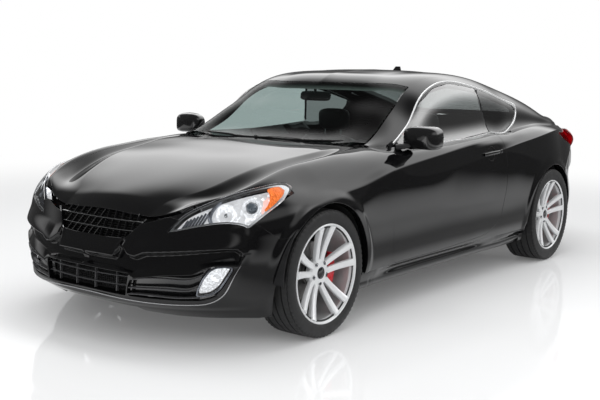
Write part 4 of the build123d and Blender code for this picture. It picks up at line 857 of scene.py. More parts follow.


# The reflector, the bowls and the amber insert all glow a little: painted glow, not lamps of the scene.
REFLECTOR = reflector("lamp_reflector", (0.93, 0.94, 0.96), 42)
BOWL = reflector("lamp_bowl", (0.95, 0.96, 0.98), 90, 0.08)
AMBER = reflector("amber_lamp", (0.95, 0.20, 0.03), 120, 0.3)
# Red of the tail lenses and rear reflectors; its weak emission is a painted glow, as no light shines in them.
TAIL_RED = uneven("tail_lamp_red", (0.55, 0.006, 0.012), 0.12, 0.04, 45, grain=0.00025, grain_scale=260,
                  Coat_Weight=1.0, Emission_Color=(0.9, 0.01, 0.02, 1), Emission_Strength=0.10)
BRIGHT = uneven("bright_trim", (0.90, 0.905, 0.91), 0.2, 0.04, 18, metallic=0.45)
DARK_CHROME = uneven("lamp_dark_chrome", (0.16, 0.17, 0.19), 0.15, 0.05, 60, metallic=0.9)
MIRROR = uneven("mirror_glass", (0.9, 0.91, 0.92), 0.02, 0.01, 10, metallic=1.0)
LENS = uneven("projector_lens", (0.10, 0.12, 0.14), 0.04, 0.02, 30, metallic=0.2, Coat_Weight=1.0)
FRIT = uneven("glass_border", (0.004, 0.004, 0.004), 0.12, 0.03, 20, Coat_Weight=0.5)


# ------------------------------------------------------------------ body panels
def pane(glass, edge=FRIT):
    """Materials of a panel of glass: its face, its edge wall and its back."""
    return glass, edge, glass


def flared(grid):
    """Pushes the body out a little round each wheel."""
    grid = grid.copy()
    for axle in (FRONT_AXLE, REAR_AXLE):
        radius = np.hypot(grid[..., 0] - axle[0], grid[..., 2] - axle[1])
        push = 8 * smoothstep(436, 392, radius) * (np.abs(grid[..., 1]) > 700)
        grid[..., 1] += push * np.sign(grid[..., 1])
    return grid


def line_distance(points, at):
    """Distance of (|y|, z) places from an open line."""
    near = np.full(at.shape[:-1], 1e9)
    for a, b in zip(np.array(points[:-1], float), np.array(points[1:], float)):
        w = np.clip((at - a) @ (b - a) / ((b - a) @ (b - a)), 0, 1)
        near = np.minimum(near, np.linalg.norm(at - a - w[..., None] * (b - a), axis=-1))
    return near


def level(line, y):
    """Height of a (|y|, z) line at some half-widths."""
    return np.interp(np.abs(y), *np.array(line, float).T)


def nose_relief(grid):
    """Presses the dark band under the ledge into the nose and raises the edges beside it."""
    at = np.stack([np.abs(grid[..., 1]), grid[..., 2]], 2)
    y, z = at[..., 0], at[..., 1]
    inside = outline_field(rounded(LEDGE, 7), [0, 1])(at.reshape(-1, 2)).reshape(y.shape)
    foot, brow = level(BROW_FOOT, y), level(BROW, y)
    depth = 26 * smoothstep(0, 8, inside) * np.clip((z - foot) / (brow - foot), 0, 1)
    over = z - level(LEDGE_TOP, y)
    front_share = smoothstep(820, 740, y)
    depth -= 13 * (1 - smoothstep(0, 85, over)) * (inside < 4) * (over > -20) * front_share
    depth -= 5 * np.exp(-(line_distance(LIP_LINE, at) / 14) ** 2) * smoothstep(620, 560, z)
    depth += 14 * smoothstep(236, 190, z) * smoothstep(860, 700, y)
    shaped = grid + grid_normals(grid) * depth[..., None]
    shaped[..., 0] -= 0.35 * np.maximum(shaped[..., 0] - (NOSE_TIP - 20), 0)
    return shaped


def both_sides(grid, place):
    """A left half and its mirror image as one grid."""
    right = grid[:, -2::-1] * OTHER_SIDE
    return np.concatenate([grid, right], 1), np.concatenate([place, place[-2::-1]])


def hood_height(v, drop=0.0):
    """How far points lie below the hood's surface."""
    rows = hood_at(v[:, 0])
    z = np.empty(len(v))
    for i, r in enumerate(rows):
        z[i] = np.interp(abs(v[i, 1]), (0, *r[8::-2]), (r[10], *r[9::-2]))
    return z - drop - v[:, 2]


def deck_height(v, drop=0.0):
    """How far points lie below the upper body's surface, near the tail."""
    low, high = side_at(v[:, 0]), upper_at(v[:, 0])
    z = np.empty(len(v))
    for i, (a, b) in enumerate(zip(low, high)):
        z[i] = np.interp(abs(v[i, 1]), (0, b[2] * 0.56, b[2], b[0], a[9]),
                         (b[4], b[3] + 0.76 * (b[4] - b[3]), b[3], b[1], a[10]))
    return z - drop - v[:, 2]


def inside_tail(v, gap=0.0):
    """How far points lie ahead of the tail's surface."""
    z = np.minimum(v[:, 2], TAIL_TOP)
    half = half_widths(REAR_AXLE[0], z)
    reach, fullness = tail_at(z).T
    share = np.clip(np.abs(v[:, 1]) / half, 0, 1)
    return v[:, 0] - (REAR_AXLE[0] - reach * (1 - share**fullness) ** (1 / fullness)) - gap


def above(z):
    """Above a height."""
    return lambda v: v[:, 2] - z


def below(z):
    """Below a height."""
    return lambda v: z - v[:, 2]


def ahead(x):
    """Ahead of a station."""
    return lambda v: v[:, 0] - x


def behind(x):
    """Behind a station."""
    return lambda v: x - v[:, 0]


def flipped(sheet):
    """The right-hand copy of a left-hand sheet."""
    v, t = sheet
    v = v.copy()
    v[:, (1, 4)] *= -1
    return v, t[:, ::-1]


def past_row(row):
    """Higher on the body than a row of its control points."""
    return lambda v: v[:, 6] - row


def any_of(*fields):
    """Inside at least one of several fields."""
    return lambda v: np.max([f(v) for f in fields], 0)


def all_of(*fields):
    """Inside every one of several fields."""
    return lambda v: np.min([f(v) for f in fields], 0)


side_grid, side_place = rear_sheet(962, -2300)
side_sheet = as_mesh(flared(side_grid), side_place)
wing_grid, wing_place = front_sheet(2178, 690)
wing_sheet = as_mesh(flared(wing_grid), wing_place)
hood_grid, hood_place = hood_sheet(2200, 850)
top_sheet = as_mesh(*both_sides(side_grid, side_place))
nose_sheet = as_mesh(nose_relief(flared(end_sheet(FRONT_AXLE, 1, nose_at, 146, 815, 4.5, 215))), flip=True)
tail_sheet = as_mesh(flared(end_sheet(REAR_AXLE, -1, tail_at, 200, 1012)))

SKIN = (PAINT, PAINT, UNDERSIDE)
arch_front, arch_rear = outside_arch(FRONT_AXLE), outside_arch(REAR_AXLE)
head_hole = out_of(at_nose(HEADLAMP, 2.5))

panel_pair("wing", wing_sheet,
           (side(WING), arch_front, out_of(plan(HOOD_PLAN, SHUT)), head_hole), CAR, SKIN, ("fender",),
           depth=38, back=False)
panel("hood_skin", as_mesh(hood_grid, hood_place), (plan(HOOD_PLAN),), "front_hood", SKIN, ("hood",),
      depth=18)
nose_holes = [out_of(at_nose(outline)) for outline in (
    UPPER_GRILLE, LOWER_GRILLE, BEZEL, BEZEL * OTHER_FRONT)]
panel("nose_skin", nose_sheet,
      (side(FRONT_BUMPER), arch_front, head_hole, *nose_holes, out_of(at_nose(HEADLAMP * OTHER_FRONT, 2.5)),
       lambda v: hood_height(v, 2), lambda v: v[:, 2] - level(BUMPER_FOOT, v[:, 1])),
      "car_body", SKIN, ("front_bumper",), depth=26, back=False)
panel_pair("door_skin", side_sheet, (side(DOOR), out_of(side(GLASS_OPENING, 1))), DOORS, (PAINT, PAINT, TRIM),
           ("door",), depth=82)
# Ahead of the roof the side skin stops at the roof's edge, where the screen begins. Behind the rear
# corner only what lies above the crest goes on, as far as the tail's surface.
quarter_cuts = (behind(846), out_of(side(DOOR, SHUT)), out_of(side(GLASS_OPENING)), above(276), arch_rear,
                out_of(side(REAR_BUMPER, SEAM)), out_of(side(TAIL_LAMP, SEAM)), out_of(plan(ROOF_PLAN, SEAM)),
                out_of(plan(REAR_GLASS_PLAN, SEAM)), out_of(plan(LID_PLAN, SHUT)),
                any_of(behind(236), out_of(past_row(ROOF_EDGE))),
                any_of(ahead(-2060), all_of(past_row(CREST), inside_tail)))
panel_pair("side_skin", side_sheet, quarter_cuts, CAR, SKIN, ("body_side",), depth=38, back=False)
panel("roof_skin", top_sheet, (plan(ROOF_PLAN),), "car_body", SKIN, ("roof_panel",), depth=20)
panel("lid_top", top_sheet, (plan(LID_PLAN), above(760), inside_tail), "rear_boot_lid", SKIN,
      ("boot_lid",), depth=16)
panel("lid_face", tail_sheet, (at_tail(LID_FACE), deck_height), "rear_boot_lid", SKIN, depth=16)
tail_holes = [out_of(at_tail(outline)) for outline in (
    DIFFUSER, PLATE_PLACE, REAR_REFLECTOR, REAR_REFLECTOR * OTHER_FRONT)]
panel("tail_skin", tail_sheet,
      (any_of(side(REAR_BUMPER), all_of(above(948), behind(-2060), deck_height)), arch_rear,
       out_of(at_tail(LID_FACE, SHUT)), *tail_holes, behind(-1400)),
      "car_body", SKIN, ("rear_bumper",), depth=20, back=False)


# ------------------------------------------------------------------ glass
def divider(shift):
    """Ahead of the slanted line between the door's glass and the quarter window."""
    (x, z), (foot_x, foot_z) = DIVIDER
    return lambda v: v[:, 0] - (x + (foot_x - x) * (z - v[:, 2]) / (z - foot_z)) - shift


panel_pair("side_glass", side_sheet, (side(GLASS_OPENING, -3), divider(6), behind(668)), DOORS,
           pane(SIDE_GLASS), ("door_glass",), depth=4, roll=1, back=False)
panel("quarter_glass", join(side_sheet, flipped(side_sheet)), (side(GLASS_OPENING, -1), out_of(divider(-6))),
      "car_body", pane(DARK_GLASS), ("quarter_windows",), depth=4, roll=1, back=False)
panel("screen_glass", top_sheet, (plan(SCREEN_PLAN, -4), past_row(ROOF_EDGE + 0.05)), "car_body",
      pane(SCREEN_GLASS), ("windscreen",), depth=5, back=False)
panel("back_glass", top_sheet, (plan(REAR_GLASS_PLAN, -1),), "car_body", pane(DARK_GLASS),
      ("rear_window",), depth=5, back=False)
panel("tail_lens", join(tail_sheet, clip(side_sheet, ahead(-1990)), clip(flipped(side_sheet), ahead(-1990))),
      (side(TAIL_LAMP), out_of(at_tail(LID_FACE, 2)), behind(-1700)),
      "car_body", pane(TAIL_RED), ("tail_lamps",), depth=8, back=False)
panel_pair("lamp_lens", nose_sheet, (at_nose(HEADLAMP),), CAR, pane(LAMP_GLASS, GREY_TRIM),
           depth=6, back=False)


# ------------------------------------------------------------------ small shapes
def nose_x(y, z):
    """Station of the plain nose surface at a half-width and height."""
    y, z = np.broadcast_arrays(np.abs(np.asarray(y, float)), np.asarray(z, float))
    half = half_widths(FRONT_AXLE[0], np.minimum(z.ravel(), TAIL_TOP)).reshape(z.shape)
    reach, fullness = (c.reshape(z.shape) for c in nose_at(z.ravel()).T)
    return FRONT_AXLE[0] + reach * np.clip(1 - np.clip(y / half, 0, 1) ** fullness, 0, 1) ** (1 / fullness)


def nose_normal(y, z):
    """Outward direction of the plain nose surface."""
    e = 4.0
    sy = (nose_x(y + e, z) - nose_x(y - e, z)) / (2 * e)
    sz = (nose_x(y, z + e) - nose_x(y, z - e)) / (2 * e)
    n = np.array([1.0, -float(sy), -float(sz)])
    return n / np.linalg.norm(n)


def on_nose(y, z, inward=0.0):
    """Point on the plain nose surface, or inward of it."""
    return np.array([float(nose_x(y, z)), y, z]) - nose_normal(y, z) * inward


def lengths_along(points):
    """Length of the way to each of several points."""
    return np.concatenate([[0], np.cumsum(np.linalg.norm(np.diff(points, axis=0), axis=1))])


def smooth_line(points, count):
    """Evenly stepped smooth line through a few points."""
    p = np.asarray(points, float)
    s = lengths_along(p)
    return natural(s, p)(np.linspace(0, s[-1], count))


def frames(path, up=(0, 0, 1)):
    """Across and up directions along a path."""
    along = np.gradient(path, axis=0)
    along /= np.linalg.norm(along, axis=1, keepdims=True)
    across = np.cross(along, np.asarray(up, float))
    across /= np.linalg.norm(across, axis=1, keepdims=True) + 1e-12
    return across, np.cross(across, along)


def ring_faces(rows, count, closed=False):
    """Faces between neighbouring rings of vertices; closed joins the last ring to the first."""
    return [(i * count + j, i * count + (j + 1) % count, (i + 1) % rows * count + (j + 1) % count,
             (i + 1) % rows * count + j) for i in range(rows if closed else rows - 1) for j in range(count)]


def end_caps(rows, count):
    """Faces that fill the first and the last ring."""
    return [tuple(range(count))[::-1], tuple((rows - 1) * count + j for j in range(count))]


def mirror_image(shape):
    """The same shape on the other side of the car."""
    v, f = shape
    return v * OTHER_SIDE, [face[::-1] for face in f]


def sweep(path, section, up=(0, 0, 1), closed=False, scale=None):
    """Mesh of a closed (across, up) section carried along a path, with its ends filled."""
    path, section = np.asarray(path, float), np.asarray(section, float)
    across, rise = frames(path, up)
    size = (np.ones(len(path)) if scale is None else np.asarray(scale, float))[:, None, None]
    v = path[:, None] + size * (across[:, None] * section[:, :1] + rise[:, None] * section[:, 1:])
    n, k = len(path), len(section)
    return v.reshape(-1, 3), ring_faces(n, k, closed) + ([] if closed else end_caps(n, k))


def oval(width, height, count=10, power=2.0):
    """Closed rounded section, squarer with a higher power."""
    t = np.linspace(0, 2 * math.pi, count, endpoint=False)
    c, q = np.cos(t), np.sin(t)
    return np.stack([width / 2 * np.sign(c) * np.abs(c) ** (2 / power),
                     height / 2 * np.sign(q) * np.abs(q) ** (2 / power)], 1)


def lathe(profile, centre, axis, count=48):
    """Mesh of (radius, distance along the axis) points turned about an axis."""
    axis = np.asarray(axis, float) / np.linalg.norm(axis)
    side_way = np.cross(axis, (0, 0, 1) if abs(axis[2]) < 0.9 else (1, 0, 0))
    side_way /= np.linalg.norm(side_way)
    other = np.cross(axis, side_way)
    t = np.linspace(0, 2 * math.pi, count, endpoint=False)
    ring = np.cos(t)[:, None] * side_way + np.sin(t)[:, None] * other
    v = np.concatenate([np.asarray(centre) + r * ring + h * axis for r, h in profile])
    return v, ring_faces(len(profile), count)


def combine(*shapes):
    """Several (vertices, faces) in one."""
    v, f, start = [], [], 0
    for verts, faces in shapes:
        v.append(verts)
        f += [tuple(i + start for i in face) for face in faces]
        start += len(verts)
    return np.concatenate(v), f


def both(shape):
    """A left-hand shape with its mirror image, as one."""
    return combine(shape, mirror_image(shape))


def piece(name, shape, material, body="car_body", nodes=(), sharp=35):
    """Piece from a shape, shaded smooth except across sharp edges."""
    obj = add_mesh(name, shape[0], shape[1], (material,), body)
    obj.data.set_sharp_from_angle(angle=math.radians(sharp))
    if nodes:
        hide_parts(*nodes)
    return obj


def piece_pair(name, shape, material, bodies, nodes=(), **options):
    """A left-hand piece and its mirror image; nodes are named without their side."""
    for hand, body, one in zip(HANDS, bodies, (shape, mirror_image(shape))):
        piece(f"{hand}_{name}", one, material, body, [f"{hand}_{node}" for node in nodes], **options)


def sunk(sheet, cuts, inward):
    """Part of a sheet moved in behind the surface, as a plain shape."""
    v, t = trimmed(sheet, cuts)
    return v[:, :3] - v[:, 3:6] * inward, t.tolist()


# ------------------------------------------------------------------ nose fittings
plain_nose = as_mesh(end_sheet(FRONT_AXLE, 1, nose_at, 185, 815, 9.0, 120), flip=True)


def nose_path(points, inward, count=40):
    """Smooth path on the nose through (y, z) points."""
    line = smooth_line(points, count)
    return np.array([on_nose(y, z, inward) for y, z in line])


def to_both(points):
    """Line of (y, z) points from the middle of the nose, continued to its other side."""
    points = np.asarray(points, float)
    return np.concatenate([points[:0:-1] * OTHER_FRONT, points])


def post(y, low, high, inward, section, steps=5, lean=0.0, tuck=0.0):
    """Upright blade behind the nose between two heights, tucked further in at its top."""
    foot, top = on_nose(y, low, inward), on_nose(y + lean, high, inward + tuck)
    return sweep(np.linspace(foot, top, steps), section, up=(1, 0, 0))


def upper_grille():
    """Dark tub with two bright bars, a chrome edge that paints the highlight along the bumper's rim round the
    opening, and rows of slanted fins.
    """
    tub = sunk(plain_nose, (at_nose(UPPER_GRILLE, 16), below(668)), 56)
    piece("grille_tub", tub, SHADOW, nodes=("upper_grille",))
    bars = []
    for z, half in ((612, 300), (568, 266)):
        line = to_both(((0, z - 1), (150, z), (half, z + 2)))
        bars.append(sweep(nose_path(line, 16), oval(13, 6)))
    piece("grille_bars", combine(*bars), CHROME)
    fins = []
    for low, high, half in ((615, 648, 292), (571, 609, 272), (526, 565, 244)):
        for i in range(-5, 6):
            fins.append(post(i * half / 5.6, low, high, 22, oval(4.5, 20, 8, 4), 4, -10 if i > 0 else 10, 8))
    piece("grille_fins", combine(*fins), GLOSS_PLASTIC)
    mesh = []
    for z in range(532, 650, 11):
        half = np.interp(z, (526, 630), (236, 300))
        mesh.append(sweep(nose_path(((-half, z), (0, z), (half, z)), 40, 24), oval(6, 2.4, 6)))
    piece("grille_mesh", combine(*mesh), PLASTIC)
    # The chrome edge is a painted highlight: it stands in for light caught by the bumper's rim round the
    # grille.
    edge = to_both(((0, 524), (131, 526), (205, 529), (241, 536), (262, 556), (322, 628)))[::-1]
    piece("grille_edge", sweep(nose_path(edge, 5, 120), oval(7, 4.5, 8)), CHROME)


def lower_grille():
    """Wide intake with two thin bars and four posts before a dark mesh."""
    v, faces = sunk(plain_nose, (at_nose(LOWER_GRILLE, 66),), 0)
    piece("intake_tub", (v - (62, 0, 0), faces), SHADOW, nodes=("lower_grille",))
    bars = []
    for z, half in ((354, 302), (309, 295)):
        line = to_both(((0, z - 2), (150, z - 1), (half, z)))
        bars.append(sweep(nose_path(line, 22), oval(16, 5, 8, 3)))
    bars += [post(y, 265, 372, 30, oval(5, 18, 8, 3)) for y in (-215, -70, 70, 215)]
    piece("intake_bars", combine(*bars), FIN)
    mesh = [sweep(nose_path(((-292, z), (0, z), (292, z)), 46, 24), oval(5, 2.4, 6))
            for z in range(272, 374, 9)]
    mesh += [post(y, 264, 374, 46, oval(2.4, 5, 6), 3) for y in range(-280, 281, 14)]
    piece("intake_mesh", combine(*mesh), PLASTIC)


def fog_bezels():
    """Dark tub beside the intake, three blades across it and a clear fog lamp at its outer end."""
    tub = sunk(plain_nose, (at_nose(BEZEL, 4),), 40)
    piece("bezel_tubs", both(tub), GLOSS_PLASTIC)
    blades = [sweep(nose_path(points, 13, 36), oval(30, 7, 12, 3)) for points in (
        ((318, 344), (341, 349), (522, 361), (612, 366), (648, 384)),
        ((304, 304), (423, 309), (518, 309), (598, 312), (626, 328)),
        ((298, 270), (350, 274), (470, 272), (558, 270), (625, 276)))]
    piece("bezel_blades", both(combine(*blades)), FIN)
    bowl = sunk(plain_nose, (at_nose(FOG, -5),), 30)
    piece("fog_bowls", both(bowl), BOWL, nodes=("fog_lamps",))
    rim = np.concatenate([FOG[::2], FOG[:1]])
    path = np.array([on_nose(y, z, 6) for y, z in rim])[:-1]
    piece("fog_rims", both(sweep(path, oval(10, 6, 8), up=(1, 0.5, 0), closed=True)), DARK_CHROME)
    bulb = lathe(((0.1, 6), (14, 5), (22, 0), (24, -8)), on_nose(*FOG_BULB, 24), nose_normal(*FOG_BULB), 24)
    piece("fog_bulbs", both(bulb), REFLECTOR)
    panel_pair("fog_lens", plain_nose, (at_nose(FOG, -2),), CAR, pane(LAMP_GLASS, GREY_TRIM),
               depth=6, roll=1.5, back=False)


def lip_line():
    """Thin bright grey line along the lower lip that turns up beside the fog lamp: a painted highlight
    standing in for the light that the body-coloured edge of the lip catches.
    """
    line = to_both(smooth_line(LIP_LINE[:-3], 60))
    path = np.array([on_nose(y, z, -6.5) for y, z in line])
    path[:, 0] = np.minimum(path[:, 0], NOSE_TIP - 3.9)
    size = np.clip((490 - line[:, 1]) / 160, 0.15, 1)
    # The grey trim tube is a painted highlight along the lip's edge.
    piece("lip_line", sweep(path, oval(6, 7, 10), scale=size), GREY_TRIM)


def lamp_facing(y, z):
    """Direction in which the lamp's round parts face, out through its lens."""
    return nose_normal(y, z) * 0.6 + np.array([0.75, 0.25, 0])


def dish(y, z, inward, radius, depth, name):
    """Round bowl facing out through the lamp's lens."""
    steps = [(radius * math.sin(t), -depth * math.cos(t) ** 1.6) for t in np.linspace(0.02, math.pi / 2, 14)]
    profile = steps + [(radius + 3, 0.6), (radius + 4.5, -3)]
    shape = lathe(profile, on_nose(y, z, inward), lamp_facing(y, z), 56)
    piece(name, both(shape), BOWL)


def headlamps():
    """Bright housing with a slatted inner end, a round reflector, a projector and an amber end."""
    housing = sunk(plain_nose, (at_nose(HEADLAMP, -1),), 52)
    piece("lamp_housings", both(housing), REFLECTOR, nodes=("headlamps",))
    bezel = sunk(plain_nose, (at_nose(HEADLAMP, -2), out_of(at_nose(HEADLAMP, -9))), 9)
    piece("lamp_inner_rims", both(bezel), SATIN)
    amber = sunk(plain_nose, (at_nose(AMBER_LENS), at_nose(HEADLAMP, -7)), 12)
    piece("lamp_amber", both(amber), AMBER)
    dish(*MIDDLE_BOWL, 34, 46, 30, "lamp_middle_bowls")
    dish(*OUTER_BOWL, 26, 44, 16, "lamp_outer_bowls")
    turns = np.linspace(0.02, math.pi / 2, 12)
    for place, inward, radius, material, name in ((MIDDLE_BOWL, 46, 12, CHROME, "lamp_bulb_shields"),
                                                  (OUTER_BOWL, 24, 25, LENS, "lamp_projectors")):
        dome = [(radius * math.sin(t), radius * 0.75 * math.cos(t)) for t in turns] + [(radius, -12)]
        piece(name, both(lathe(dome, on_nose(*place, inward), lamp_facing(*place), 40)), material)
    ring = lathe(((26, -4), (26.5, 3), (29.5, 4.5), (31, 0)), on_nose(*OUTER_BOWL, 24),
                 lamp_facing(*OUTER_BOWL), 40)
    piece("lamp_projector_rings", both(ring), CHROME)
    arc = nose_path(((656, 736), (641, 708), (637, 680), (643, 652), (655, 634)), 24, 24)
    piece("lamp_dividers", both(sweep(arc, oval(5, 26, 10, 3), up=(1, 0, 0))), DARK_CHROME)
    slats = [post(520 + 15 * i, 600 + 3.4 * i, 645 + 8.2 * i, 26, oval(4, 16, 8, 3), 6, 16, 8)
             for i in range(7)]
    piece("lamp_slats", both(combine(*slats)), DARK_CHROME)


upper_grille()
lower_grille()
fog_bezels()
lip_line()
headlamps()


# ------------------------------------------------------------------ side fittings
def side_y(x, z):
    """Half-width of the body side at a station and height, read off its sheet."""
    x, z = np.atleast_1d(np.asarray(x, float)), np.atleast_1d(np.asarray(z, float))
    at = side_sheet[0][:, :3]
    result = []
    for station, height in zip(x, z):
        away = (at[:, 0] - station) ** 2 + (at[:, 2] - height) ** 2
        few = np.argpartition(away, 5)[:5]
        result.append(np.average(at[few, 1], weights=1 / (away[few] + 9)))
    return np.array(result)


def side_path(points, outward, count=60):
    """Smooth path on the body side through (x, z) points."""
    line = smooth_line(points, count)
    y = side_y(line[:, 0], line[:, 1])
    for _ in range(6):
        padded = np.pad(y, 2, mode="edge")
        y = sum(padded[i:i + count] for i in range(5)) / 5
    return np.stack([line[:, 0], y + outward, line[:, 1]], 1)


WINDOW_TOP = ((668, 946), (560, 998), (460, 1050), (290, 1186), (110, 1268), (-110, 1303), (-400, 1276),
              (-600, 1241), (-830, 1190), (-980, 1156), (-1026, 1136), (-1034, 1096), (-1004, 1056),
              (-950, 1021), (-880, 994), (-790, 970), (-710, 959), (-650, 957), (-600, 963))
BELT = ((640, 932), (300, 934), (0, 939), (-250, 951), (-400, 961), (-505, 969))
BELT_REAR = ((-535, 971), (-570, 968), (-604, 963))


def window_trim():
    """Bright strip over the side glass, round its rear corner and back along the belt."""
    size = 1 + 0.35 * smoothstep(-860, -1000, smooth_line(WINDOW_TOP, 150)[:, 0])
    strip = sweep(side_path(WINDOW_TOP, 2.5, 150), oval(8, 14, 10, 3), up=(0.4, 0, 1), scale=size)
    piece_pair("window_trim", strip, BRIGHT, CAR)
    piece_pair("belt_trim", sweep(side_path(BELT, 2, 60), oval(5, 8, 8, 3)), BRIGHT, DOORS)
    piece_pair("belt_trim_rear", sweep(side_path(BELT_REAR, 2, 12), oval(5, 8, 8, 3)), BRIGHT, CAR)
    pillar = side_path(((-447, 1252), (-480, 1130), (-518, 986)), -5, 24)
    piece_pair("window_post", sweep(pillar, oval(5, 22, 8, 4), up=(1, 0, 0)), PLASTIC, CAR)


def mirrors():
    """Door mirrors: sculpted shell, glass in its rim, arm and foot on the door's front corner."""
    rings = []
    for t in np.linspace(0, 1, 18):
        share = max((1 - t ** 4.5) ** 0.5, 0.03)
        ring = oval(226 * share, 134 * (0.22 + 0.78 * share) if t < 0.97 else 26, 40, 4.0)
        out = ring[:, 0] / 112
        lift = 7 * out - 9 * out ** 2 + 12 * t * (1 - out)
        rings.append(np.stack([562 + 100 * t - 12 * out * (1 - t), 911 + 2 * t + ring[:, 0],
                               985 - 8 * t + ring[:, 1] + lift], 1))
    shell = np.concatenate(rings), ring_faces(len(rings), 40) + end_caps(len(rings), 40)
    piece_pair("mirror_shell", shell, GLOSS_PLASTIC, DOORS, ("door_mirror",), sharp=50)
    ring = oval(196, 104, 32, 3.4)
    face = np.stack([561.5 + 0 * ring[:, 0], 911 + ring[:, 0], 983 + ring[:, 1]], 1)
    rim = sweep(face + (0.6, 0, 0), oval(5, 5, 6), up=(1, 0, 0), closed=True)
    piece_pair("mirror_rim", rim, PLASTIC, DOORS)
    piece_pair("mirror_glass", (face, [tuple(range(32))[::-1]]), MIRROR, DOORS)
    arm = smooth_line(((672, 786, 930), (656, 812, 934), (634, 838, 940), (620, 862, 950)), 16)
    arm = sweep(arm, oval(66, 30, 16, 3), scale=np.linspace(1.15, 0.85, 16))
    piece_pair("mirror_arm", arm, PLASTIC, DOORS)
    sail = side_path(((706, 936), (690, 940), (672, 948)), 3, 8)
    piece_pair("mirror_foot", sweep(sail, oval(8, 40, 10, 3)), PLASTIC, DOORS)


def handles():
    """Pull handle over a dark cup, with its lock behind it."""
    bar = side_path(((-238, 842), (-300, 846), (-380, 849), (-462, 851)), 14, 24)
    bar[:, 1] += -8 * np.abs(np.linspace(-1, 1, 24)) ** 4
    size = 0.82 + 0.18 * np.cos(np.linspace(-1.3, 1.3, 24))
    piece_pair("handle_bar", sweep(bar, oval(13, 24, 14, 2.6), scale=size), PAINT, DOORS, ("door_handle",))
    cup = lathe(((0.1, -6), (30, -5), (42, 0), (47, 2.2), (50, 0.5)),
                (-352, float(side_y(-352, 846)[0]), 842), (0.05, 1, 0.1), 40)
    piece_pair("handle_cup", cup, SHADOW, DOORS)
    lock = lathe(((0.1, 3.5), (9, 3.2), (11, 0)), (-484, float(side_y(-484, 850)[0]) - 0.5, 852),
                 (0, 1, 0), 24)
    piece_pair("handle_lock", lock, CHROME, DOORS)
    base = side_path(((-476, 851), (-498, 853)), 3, 8)
    piece_pair("handle_end", sweep(base, oval(14, 25, 12, 2.6)), PAINT, DOORS)


def sills():
    """Sill below the door: top edge, scooped wedge, outer lip and the turn under the floor."""
    x = np.linspace(1128, -962, 200)
    scoop = 22 * smoothstep(1080, 700, x) * smoothstep(-620, -150, x)
    top = side_y(x, np.full(200, 278))
    low = side_y(x, np.full(200, 190))
    tail = smoothstep(-600, -950, x)
    rows = np.stack([np.stack([x, y, z + rise * tail], 1) for y, z, rise in (
        (top - 1, 279, 0), (top - 3 - scoop * 0.55, 266, 0), (top - 8 - scoop, 246, 14), (low + 4, 222, 14),
        (low + 1, 196, 10), (low - 16, 176, 6), (low - 60, 172, 0))], 1)
    sharp = np.zeros((200, 7))
    sharp[:, 1], sharp[:, 3] = 0.6, 0.85
    grid, place = skin(rows[:, ::-1], (4, 5, 6, 8, 7, 4), sharp[:, ::-1])
    panel_pair("sill", as_mesh(grid, place), (arch_front, arch_rear), CAR, SKIN, depth=10, back=False)


# ------------------------------------------------------------------ wheels
SPOKES, SPOKE_ANGLE = 5, math.radians(90)    # pairs of spokes, and the direction of the first pair
WHEEL_WAY = (0, 1, 0)           # the left wheels turn about this axis
CALIPER_REACH = 185             # from the wheel's axis to the caliper's far edge
# End of the car, axle, tyre radius, width and middle, outer face of the rim, face of the hub.
WHEELS = (("front", FRONT_AXLE, 331, 224.5, 795, 904.5, 862),
          ("rear", REAR_AXLE, 339, 244.5, 800, 914.5, 872))


def turned(profile, y, count, at=(0, 0, 0)):
    """Shape turned about the wheel's axis from (radius, distance out from y) points."""
    return lathe([(r, y + out) for r, out in profile], at, WHEEL_WAY, count)


def wheel_rim(outer_y, hub_y):
    """Rim about the Y axis: the outer lip of its barrel, five pairs of spokes and the hub."""
    lip = ((258, -14), (258, -3), (255, 0), (251, -1.5), (247, -7), (243, -18), (240, -34))
    parts = [turned(lip, outer_y, 96)]
    right_hand = np.array(((-15, -14), (-17, 3), (-13.5, 9), (-4, 12), (6, 12), (14, 9.5), (17, 3),
                           (15, -14)))
    t = np.linspace(0, 1, 14)
    r = 50 + t * 191
    y = hub_y - 17 + (outer_y - hub_y + 5) * t ** 1.6
    for pair in range(SPOKES):
        middle = SPOKE_ANGLE + pair * 2 * math.pi / SPOKES
        for hand, section in ((-1, right_hand[::-1] * (-1, 1)), (1, right_hand)):
            spread = hand * (20 + 30 * t ** 1.2)
            path = np.stack([r * math.cos(middle) - spread * math.sin(middle), y,
                             r * math.sin(middle) + spread * math.cos(middle)], 1)
            parts.append(sweep(path, section, up=WHEEL_WAY, scale=0.92 + 0.24 * t ** 1.5))
    hub = turned(((0.1, -3), (30, -3), (33, 0), (44, -1), (66, -8), (74, -20), (74, -44)), hub_y, 60)
    return combine(*parts, hub)


def wheel_barrel(outer_y):
    """Deep part of the rim behind the spokes."""
    return turned(((240, -34), (235, -90), (231, -150), (233, -200), (246, -214), (258, -219)), outer_y, 72)


def wheel_details(hub_y):
    """Dark centre cap, then lug pockets, then their nuts with a ring round the cap."""
    cap = turned(((0.1, 3), (14, 2.6), (25, 0.6), (28, -3)), hub_y, 40)
    pockets, nuts = [], []
    for i in range(SPOKES):
        turn = SPOKE_ANGLE + (i + 0.5) * 2 * math.pi / SPOKES
        at = (53 * math.cos(turn), 0, 53 * math.sin(turn))
        pockets.append(turned(((12.5, -3), (11, -3.4), (10.4, -7), (0.1, -7.2)), hub_y, 24, at))
        nuts.append(turned(((8, -8), (8, -3.2), (6.5, -2), (0.1, -1.8)), hub_y, 6, at))
    ring = turned(((28, -2), (29.5, 0.8), (31.5, -0.5)), hub_y, 40)
    return cap, combine(*pockets), combine(*nuts, ring)


